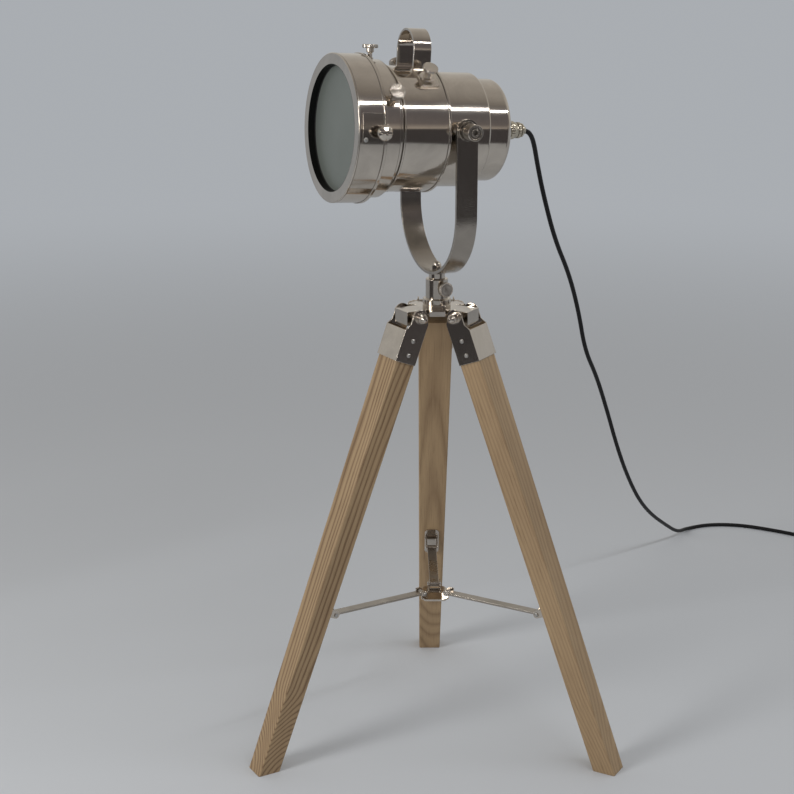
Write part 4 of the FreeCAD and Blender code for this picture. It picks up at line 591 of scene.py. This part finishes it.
class LAMP_OT_finishes(bpy.types.Operator):
    """Make the lamp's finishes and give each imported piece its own"""

    bl_idname = "lamp.finishes"
    bl_label = "Finishes"

    def execute(self, context):
        finish = context.scene.lamp_finish
        nickel, polish = tuple(finish.nickel), finish.nickel_roughness
        GROUPS.update(scuffs=scuff_group(), oak=oak_group(), axis=axis_group(),
                      line=line_group(), edge=edge_group(), knurl=knurl_group())
        MATERIALS.update(
            nickel=polished_metal("Polished Nickel", nickel, polish),
            cast_nickel=polished_metal("Cast Nickel", scaled(nickel, 0.92), 0.11, bump=0.08),
            steel=polished_metal("Bright Steel", STEEL, 0.28, bump=0.08),
            brass=polished_metal("Tarnished Brass", BRASS, 0.26, dark=0.55),
            reflector=polished_metal("Spun Reflector", (0.8, 0.8, 0.8), 0.18, bump=0.03),
            rubber=soft_plastic("Cord Sheath", finish.cord, 0.5, 900.0, gloss=0.2),
            plastic=soft_plastic("Moulded Plug", (0.012, 0.012, 0.013), 0.38, 700.0),
            phenolic=soft_plastic("Lampholder", (0.03, 0.025, 0.022), 0.3),
            bulb=soft_plastic("Opal Bulb", (0.82, 0.82, 0.8), 0.22, 60.0, 0.01),
            glass=frosted_glass(finish.glass))
        for part in frame["record"]["subparts"]:
            if part["material_slot"] in MATERIALS:
                dress(part["node"], MATERIALS[part["material_slot"]])
        dress("glass_gasket", soft_plastic("Gasket", (0.02, 0.02, 0.02), 0.7))
        # the yoke's nickel is painted darker than the rest: painted shade
        dress("yoke_strap", polished_metal("Yoke Nickel", scaled(nickel, 0.68), 0.09, bump=0.3))
        # the catch plate's nickel is painted darker: a painted dark reflection
        dress("bezel_catch_plate", polished_metal("Catch Plate", scaled(nickel, 0.6), 0.12))
        arm = polished_metal("Spreader Steel", scaled(nickel, 0.68), 0.24, bump=0.1)
        for side, values in GRAINS.items():
            dress(f"spreader_arm_{side}", arm)
            dress(f"leg_{side}", oak(side, values, finish))
        # the drums get lines of painted shade along their seams
        for end, seams in (("front", FRONT_DRUM_SEAMS), ("rear", REAR_DRUM_SEAMS)):
            drum = polished_metal(f"{end.title()} Drum Nickel", nickel, polish, place=HEAD)
            dress(f"head_{end}_drum", shade_lined(drum, HEAD, seams))
        for side in ("near", "far"):
            knob = polished_metal(f"Tilt Knob {side.title()}", scaled(nickel, 0.8), 0.14)
            # the tilt knobs get rings of painted shade, with a dark middle
            dress(f"tilt_knob_{side}", shade_lined(knob, TILT_AXIS, KNOB_RINGS, "Radius", 0.9))
        # the bezel's inner wall round the glass gets painted shade
        dress("bezel_ring", painted_shade_mouth(nickel, polish))
        for node, values in KNURLS.items():
            colour = BRASS if node == "gland_nut" else nickel
            dress(node, knurled(polished_metal(f"Knurled {node}", colour, 0.16), *values))
        return {"FINISHED"}


# ---------------------------------------------------------------- the gland's cap
CAP_OUTLINE = [  # station along the head's axis, radius
    (-0.1215, 0.0038), (-0.1215, 0.0104), (-0.1245, 0.0108), (-0.1252, 0.0116),
    (-0.129, 0.0116), (-0.1297, 0.0108), (-0.1303, 0.009), (-0.1312, 0.009),
    (-0.1318, 0.0102), (-0.1338, 0.0098), (-0.1352, 0.0078), (-0.137, 0.0062),
    (-0.1382, 0.0058), (-0.1386, 0.0052), (-0.1384, 0.0048), (-0.131, 0.004),
    (-0.1215, 0.0038)]
TURNED_SIDES = 64
MERGE_WITHIN = 0.000001
SMOOTH_BELOW = math.radians(35)


def turned_piece(name, place, outline):
    """Turn a closed outline of (station, radius) about a place's X, ring after ring."""
    bpy.ops.object.select_all(action="DESELECT")
    start = place @ Matrix.Translation((outline[0][0], 0, 0)) @ turn(90, "Y")
    bpy.ops.mesh.primitive_circle_add(vertices=TURNED_SIDES, radius=outline[0][1],
                                      location=start.translation, rotation=start.to_euler())
    piece = bpy.context.active_object
    piece.name = name
    bpy.ops.object.mode_set(mode="EDIT")
    bpy.ops.mesh.select_all(action="SELECT")
    along = place.to_3x3() @ Vector((1, 0, 0))
    for (station, radius), (following, wider) in zip(outline, outline[1:]):
        move = {"value": along * (following - station)}
        bpy.ops.mesh.extrude_region_move(TRANSFORM_OT_translate=move)
        bpy.ops.transform.resize(value=(wider / radius,) * 3,
                                 center_override=place @ Vector((following, 0, 0)))
    bpy.ops.mesh.select_all(action="SELECT")
    bpy.ops.mesh.remove_doubles(threshold=MERGE_WITHIN)
    bpy.ops.mesh.normals_make_consistent(inside=False)
    bpy.ops.object.mode_set(mode="OBJECT")
    bpy.ops.object.transform_apply(location=True, rotation=True, scale=True)
    bpy.ops.object.shade_smooth_by_angle(angle=SMOOTH_BELOW)
    return piece


class LAMP_OT_gland_cap(bpy.types.Operator):
    """Turn the cap that closes the gland and guides the cord out of it"""

    bl_idname = "lamp.gland_cap"
    bl_label = "Gland Cap"

    def execute(self, context):
        cap = turned_piece("gland_cap", HEAD, CAP_OUTLINE)
        # the gland cap gets lines of painted shade along its seams
        metal = shade_lined(polished_metal("Gland Cap Metal", BRASS, 0.2), HEAD, CAP_SEAMS)
        cap.data.materials.append(knurled(metal, HEAD, GLAND_TEETH, CAP_INNER))
        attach(cap, "lamp_head")
        return {"FINISHED"}


# ---------------------------------------------------------------- the mains cord
CORD_ROUTE = [  # millimetres from the tripod's axis
    (126.9, 54.9, 918), (135.8, 62.7, 912.7), (143, 79, 897), (152, 112, 860), (164, 136, 812),
    (188, 182, 734), (218, 238, 668), (240, 279, 597), (256, 310, 524), (284, 362, 464),
    (311, 413, 388), (338, 462, 306), (366, 515, 234), (400, 579, 163), (437, 650, 107),
    (480, 730, 56), (517, 800, 14), (544, 848, 3.6), (596, 872, 3.6), (660, 868, 3.6),
    (724, 836, 3.6), (786, 796, 3.6), (826, 784, 3.6)]
GLAND_MOUTH = 0.124
CORD_INSIDE = 0.004
CORD_SIDES = 16
COIL_POINTS = 16  # in each turn
COIL_CORNERS = 1.004
PLUG_RUN = 0.069
AFTER_COIL, FARTHER, BEFORE_PLUG = 0.014, 0.032, 0.018
LINE_STEP = 0.002


def coil_points(cord, start, heading):
    """Control points of the put-away coil: in on the floor and out again on top."""
    left = Vector((-heading.y, heading.x, 0))
    entry = start + heading * cord.diameter
    centre = entry - left * cord.coil_radius
    half = cord.coil_turns * math.pi
    steps = int(round(cord.coil_turns * COIL_POINTS))
    points = [entry]
    for number in range(1, steps + 1):
        angle = 2 * half * number / steps
        inward = min(angle, 2 * half - angle)
        radius = cord.coil_radius - cord.coil_pitch * inward / (2 * math.pi)
        rise = min(max((angle - half) / math.pi + 0.5, 0.0), 1.0)
        rise = rise * rise * (3 - 2 * rise)
        out = left * math.cos(angle) + heading * math.sin(angle)
        lift = Vector((0, 0, cord.coil_pitch * rise))
        points.append(centre + out * radius * COIL_CORNERS + lift)
    return points


def smooth_line(name, points):
    """The points of a smooth curve that runs through a route's control points."""
    curve = bpy.data.curves.new(name, "CURVE")
    curve.dimensions = "3D"
    spline = curve.splines.new("NURBS")
    spline.points.add(len(points) - 1)
    for point, place in zip(spline.points, points):
        point.co = (*place, 1)
    spline.order_u = 3
    spline.use_endpoint_u = True
    spline.resolution_u = 12
    route = bpy.data.objects.new(name, curve)
    bpy.context.scene.collection.objects.link(route)
    line = bpy.data.meshes.new_from_object(route)
    places = [vertex.co.copy() for vertex in line.vertices]
    bpy.data.objects.remove(route)
    bpy.data.meshes.remove(line)
    even = [places[0]]
    for place in places[1:]:
        if (place - even[-1]).length > LINE_STEP:
            even.append(place)
    even[-1] = places[-1]
    return even


def tube_mesh(name, line, radius):
    """A round tube along a line, closed at both ends."""
    shape = bmesh.new()
    rings = []
    across = (line[1] - line[0]).normalized().orthogonal().normalized()
    for index, place in enumerate(line):
        ahead = line[min(index + 1, len(line) - 1)]
        behind = line[max(index - 1, 0)]
        along = (ahead - behind).normalized()
        across = (across - along * across.dot(along)).normalized()
        beside = along.cross(across)
        ring = []
        for side in range(CORD_SIDES):
            angle = 2 * math.pi * side / CORD_SIDES
            offset = across * math.cos(angle) + beside * math.sin(angle)
            ring.append(shape.verts.new(place + offset * radius))
        rings.append(ring)
    for first, second in zip(rings, rings[1:]):
        for side in range(CORD_SIDES):
            after = (side + 1) % CORD_SIDES
            shape.faces.new((first[side], first[after], second[after], second[side]))
    shape.faces.new(list(reversed(rings[0])))
    shape.faces.new(rings[-1])
    for face in shape.faces:
        face.smooth = len(face.verts) == 4
    mesh = bpy.data.meshes.new(name)
    shape.to_mesh(mesh)
    shape.free()
    piece = bpy.data.objects.new(name, mesh)
    bpy.context.scene.collection.objects.link(piece)
    return piece


class LAMP_OT_cord(bpy.types.Operator):
    """Lay the mains cord from the gland to the floor and wind its put-away length"""

    bl_idname = "lamp.cord"
    bl_label = "Mains Cord"

    def execute(self, context):
        cord = context.scene.lamp_cord
        mouth = HEAD @ Vector((CORD_INSIDE - GLAND_MOUTH, 0, 0))
        route = [mouth] + [Vector(point) / 1000 + AXIS for point in CORD_ROUTE]
        heading = (route[-1] - route[-2]).normalized()
        points = route + coil_points(cord, route[-1], heading)
        last = points[-1]
        run = (last - points[-2]).normalized()
        level = Vector((run.x, run.y, 0)).normalized()
        plug_low, plug_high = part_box("mains_plug")
        end = last + level * PLUG_RUN
        end.z = (plug_low[2] + plug_high[2]) / 2
        points += [last + run * AFTER_COIL, last + run * FARTHER, end - level * BEFORE_PLUG, end]
        line = smooth_line("cord_route", points)
        piece = tube_mesh("mains_cord", line, cord.diameter / 2)
        piece.data.materials.append(MATERIALS["rubber"])
        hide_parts("cord_root", "power_cord", "cord_coil", "plug_lead")
        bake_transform(piece)
        return {"FINISHED"}


# ---------------------------------------------------------------- studio
IMAGE_WIDTH = 794
SENSOR_WIDTH = 36
SHIFT_PIXELS = 1.7
CAMERA_PLACE = Vector((-0.0687, -2.3365, 1.2081))
CAMERA_DOWN = 0.2816
CAMERA_TURN = -0.0036
FLOOR_SIZE = 400
FLOOR_COLOUR = (0.62, 0.66, 0.71, 1)
FAR_FLOOR = (0.4, 0.42, 0.445, 1)
FAR_START, FAR_END = 0.9, 5.0
HORIZON = (0.364, 0.382, 0.405)
OVERHEAD = (0.33, 0.31, 0.29)
# skies: height from straight down to straight up, colour
FRONT_SKY = ((0.5, HORIZON), (0.545, (0.42, 0.38, 0.34)), (0.61, (0.17, 0.155, 0.155)),
             (0.82, (0.12, 0.115, 0.125)), (0.9, (0.24, 0.22, 0.2)), (1.0, OVERHEAD))
BACK_SKY = ((0.5, HORIZON), (0.6, (0.55, 0.54, 0.51)), (0.88, (0.46, 0.44, 0.41)),
            (1.0, OVERHEAD))
SKY_EASE = 0.3
STRIP_FROM_HEAD = Vector((1.53, -1.03, 1.53))
STRIP_SIZE = (3.2, 0.09)
STRIP_TILT = 0.3
FILL_PLACE, FILL_TARGET = Vector((-2.0, -1.5, 1.5)), Vector((0, 0, 0.5))
FILL_SIZE = (0.8, 0.8)
FILL_COLOUR = (1, 0.97, 0.93)
CARDS = {  # one end, other end, height, shade
    "card_right": ((1.5, -0.65), (2.3, -2.9), 1.15, 0.12),
    "card_left": ((-1.95, -0.35), (-1.2, -1.65), 0.9, 0.08),
}


def area_lamp(name, place, target, size, power, colour=(1, 1, 1), tilt=0.0):
    """A long soft lamp that faces a point, its length along the lamp head or tilted down."""
    light = bpy.data.lights.new(name, "AREA")
    light.shape = "RECTANGLE"
    light.size, light.size_y = size
    light.energy = power
    light.color = colour
    back = (place - target).normalized()
    along = HEAD.to_3x3() @ Vector((1, 0, 0)) + Vector((0, 0, -tilt))
    along = (along - back * along.dot(back)).normalized()
    turned = Matrix((along, back.cross(along), back)).transposed().to_4x4()
    lamp = bpy.data.objects.new(name, light)
    lamp.matrix_world = Matrix.Translation(place) @ turned
    bpy.context.scene.collection.objects.link(lamp)


def studio_room(scene, strength):
    """Soft light from all round: pale behind and overhead, deeper half way up in front."""
    world = bpy.data.worlds.new("Studio")
    world.use_nodes = True
    scene.world = world
    tree = world.node_tree
    direction = add(tree, "ShaderNodeTexCoord").outputs["Generated"]
    split = add(tree, "ShaderNodeSeparateXYZ", {"Vector": direction}).outputs
    level = add(tree, "ShaderNodeMapRange", {"Value": split["Z"], "From Min": -1.0})
    front, behind = (ramp(tree, level.outputs["Result"], stops) for stops in (FRONT_SKY, BACK_SKY))
    side = step(tree, split["Y"], -SKY_EASE, SKY_EASE)
    shade = tree.nodes["Background"]
    tree.links.new(blend_colours(tree, side, front, behind), shade.inputs["Color"])
    shade.inputs["Strength"].default_value = strength


def studio_floor():
    """A plain pale floor whose far part glows to the horizon's colour, so that no edge shows."""
    bpy.ops.object.select_all(action="DESELECT")
    bpy.ops.mesh.primitive_plane_add(size=FLOOR_SIZE, location=(0, 0, 0))
    floor = bpy.context.active_object
    floor.name = "studio_floor"
    paint, tree, shader, vector = new_material("Studio Floor", Roughness=0.85)
    shader.inputs["Base Color"].default_value = FLOOR_COLOUR
    far = step(tree, length(tree, vector), FAR_START, FAR_END)
    light = add(tree, "ShaderNodeLightPath").outputs
    seen = maths(tree, "MAXIMUM", light["Is Camera Ray"], light["Is Glossy Ray"])
    seen = maths(tree, "MAXIMUM", seen, light["Is Transmission Ray"])
    glow = add(tree, "ShaderNodeEmission", {"Color": FAR_FLOOR})
    mixed = add(tree, "ShaderNodeMixShader", {0: maths(tree, "MULTIPLY", far, seen),
                                              1: shader.outputs[0], 2: glow.outputs[0]})
    tree.links.new(mixed.outputs[0], tree.nodes["Material Output"].inputs["Surface"])
    floor.data.materials.append(paint)


def dark_card(name, start, end, height, shade):
    """A dark card beside the set, out of the light, for polished metal to mirror."""
    bpy.ops.object.select_all(action="DESELECT")
    run = Vector((end[0] - start[0], end[1] - start[1], 0))
    middle = Vector((start[0] + end[0], start[1] + end[1], height)) / 2
    bpy.ops.mesh.primitive_plane_add(size=1, location=middle,
                                     rotation=(math.pi / 2, 0, math.atan2(run.y, run.x)))
    card = bpy.context.active_object
    card.name = name
    card.scale = (run.length, height, 1)
    bpy.ops.object.transform_apply(location=True, rotation=True, scale=True)
    paint, _, shader, _ = new_material(f"{name} paint", Roughness=0.9)
    shader.inputs["Base Color"].default_value = (shade, shade * 0.94, shade, 1)
    card.data.materials.append(paint)
    for ray in ("camera", "diffuse", "shadow", "transmission"):
        setattr(card, f"visible_{ray}", False)


def place_camera(scene, focal_length):
    """The camera at the photograph's viewing angle."""
    view = bpy.data.cameras.new("Camera")
    view.lens = focal_length
    view.sensor_width = SENSOR_WIDTH
    view.shift_x = SHIFT_PIXELS / IMAGE_WIDTH
    camera = bpy.data.objects.new("Camera", view)
    camera.location = CAMERA_PLACE + AXIS
    camera.rotation_euler = Euler((math.pi / 2 - CAMERA_DOWN, 0, CAMERA_TURN))
    scene.collection.objects.link(camera)
    scene.camera = camera


class LAMP_OT_stage(bpy.types.Operator):
    """Set up the pale floor, the soft lamps and the camera"""

    bl_idname = "lamp.stage"
    bl_label = "Stage"

    def execute(self, context):
        scene = context.scene
        studio = scene.lamp_studio
        studio_floor()
        studio_room(scene, studio.sky)
        middle = HEAD.translation
        area_lamp("strip", middle + STRIP_FROM_HEAD, middle, STRIP_SIZE, studio.strip_power,
                  tilt=STRIP_TILT)
        area_lamp("fill", FILL_PLACE, FILL_TARGET, FILL_SIZE, studio.fill_power, FILL_COLOUR)
        for name, values in CARDS.items():
            dark_card(name, *values)
        place_camera(scene, studio.focal_length)
        scene.view_settings.view_transform = "Standard"
        return {"FINISHED"}


class LAMP_PT_panel(bpy.types.Panel):
    """The lamp's pieces in the order they are made"""

    bl_label = "Tripod Spotlight Lamp"
    bl_space_type = "VIEW_3D"
    bl_region_type = "UI"
    bl_category = "Lamp"

    def draw(self, context):
        for operator in OPERATORS:
            self.layout.operator(operator.bl_idname)


OPERATORS = (LAMP_OT_finishes, LAMP_OT_gland_cap, LAMP_OT_cord, LAMP_OT_stage)
CLASSES = (LampCord, LampFinish, LampStudio) + OPERATORS + (LAMP_PT_panel,)


def register():
    for item in CLASSES:
        bpy.utils.register_class(item)
    bpy.types.Scene.lamp_cord = PointerProperty(type=LampCord)
    bpy.types.Scene.lamp_finish = PointerProperty(type=LampFinish)
    bpy.types.Scene.lamp_studio = PointerProperty(type=LampStudio)


def unregister():
    del bpy.types.Scene.lamp_studio
    del bpy.types.Scene.lamp_finish
    del bpy.types.Scene.lamp_cord
    for item in reversed(CLASSES):
        bpy.utils.unregister_class(item)


def main():
    register()
    bpy.ops.lamp.finishes()
    bpy.ops.lamp.gland_cap()
    bpy.ops.lamp.cord()
    bpy.ops.lamp.stage()


if __name__ == "__main__":
    main()
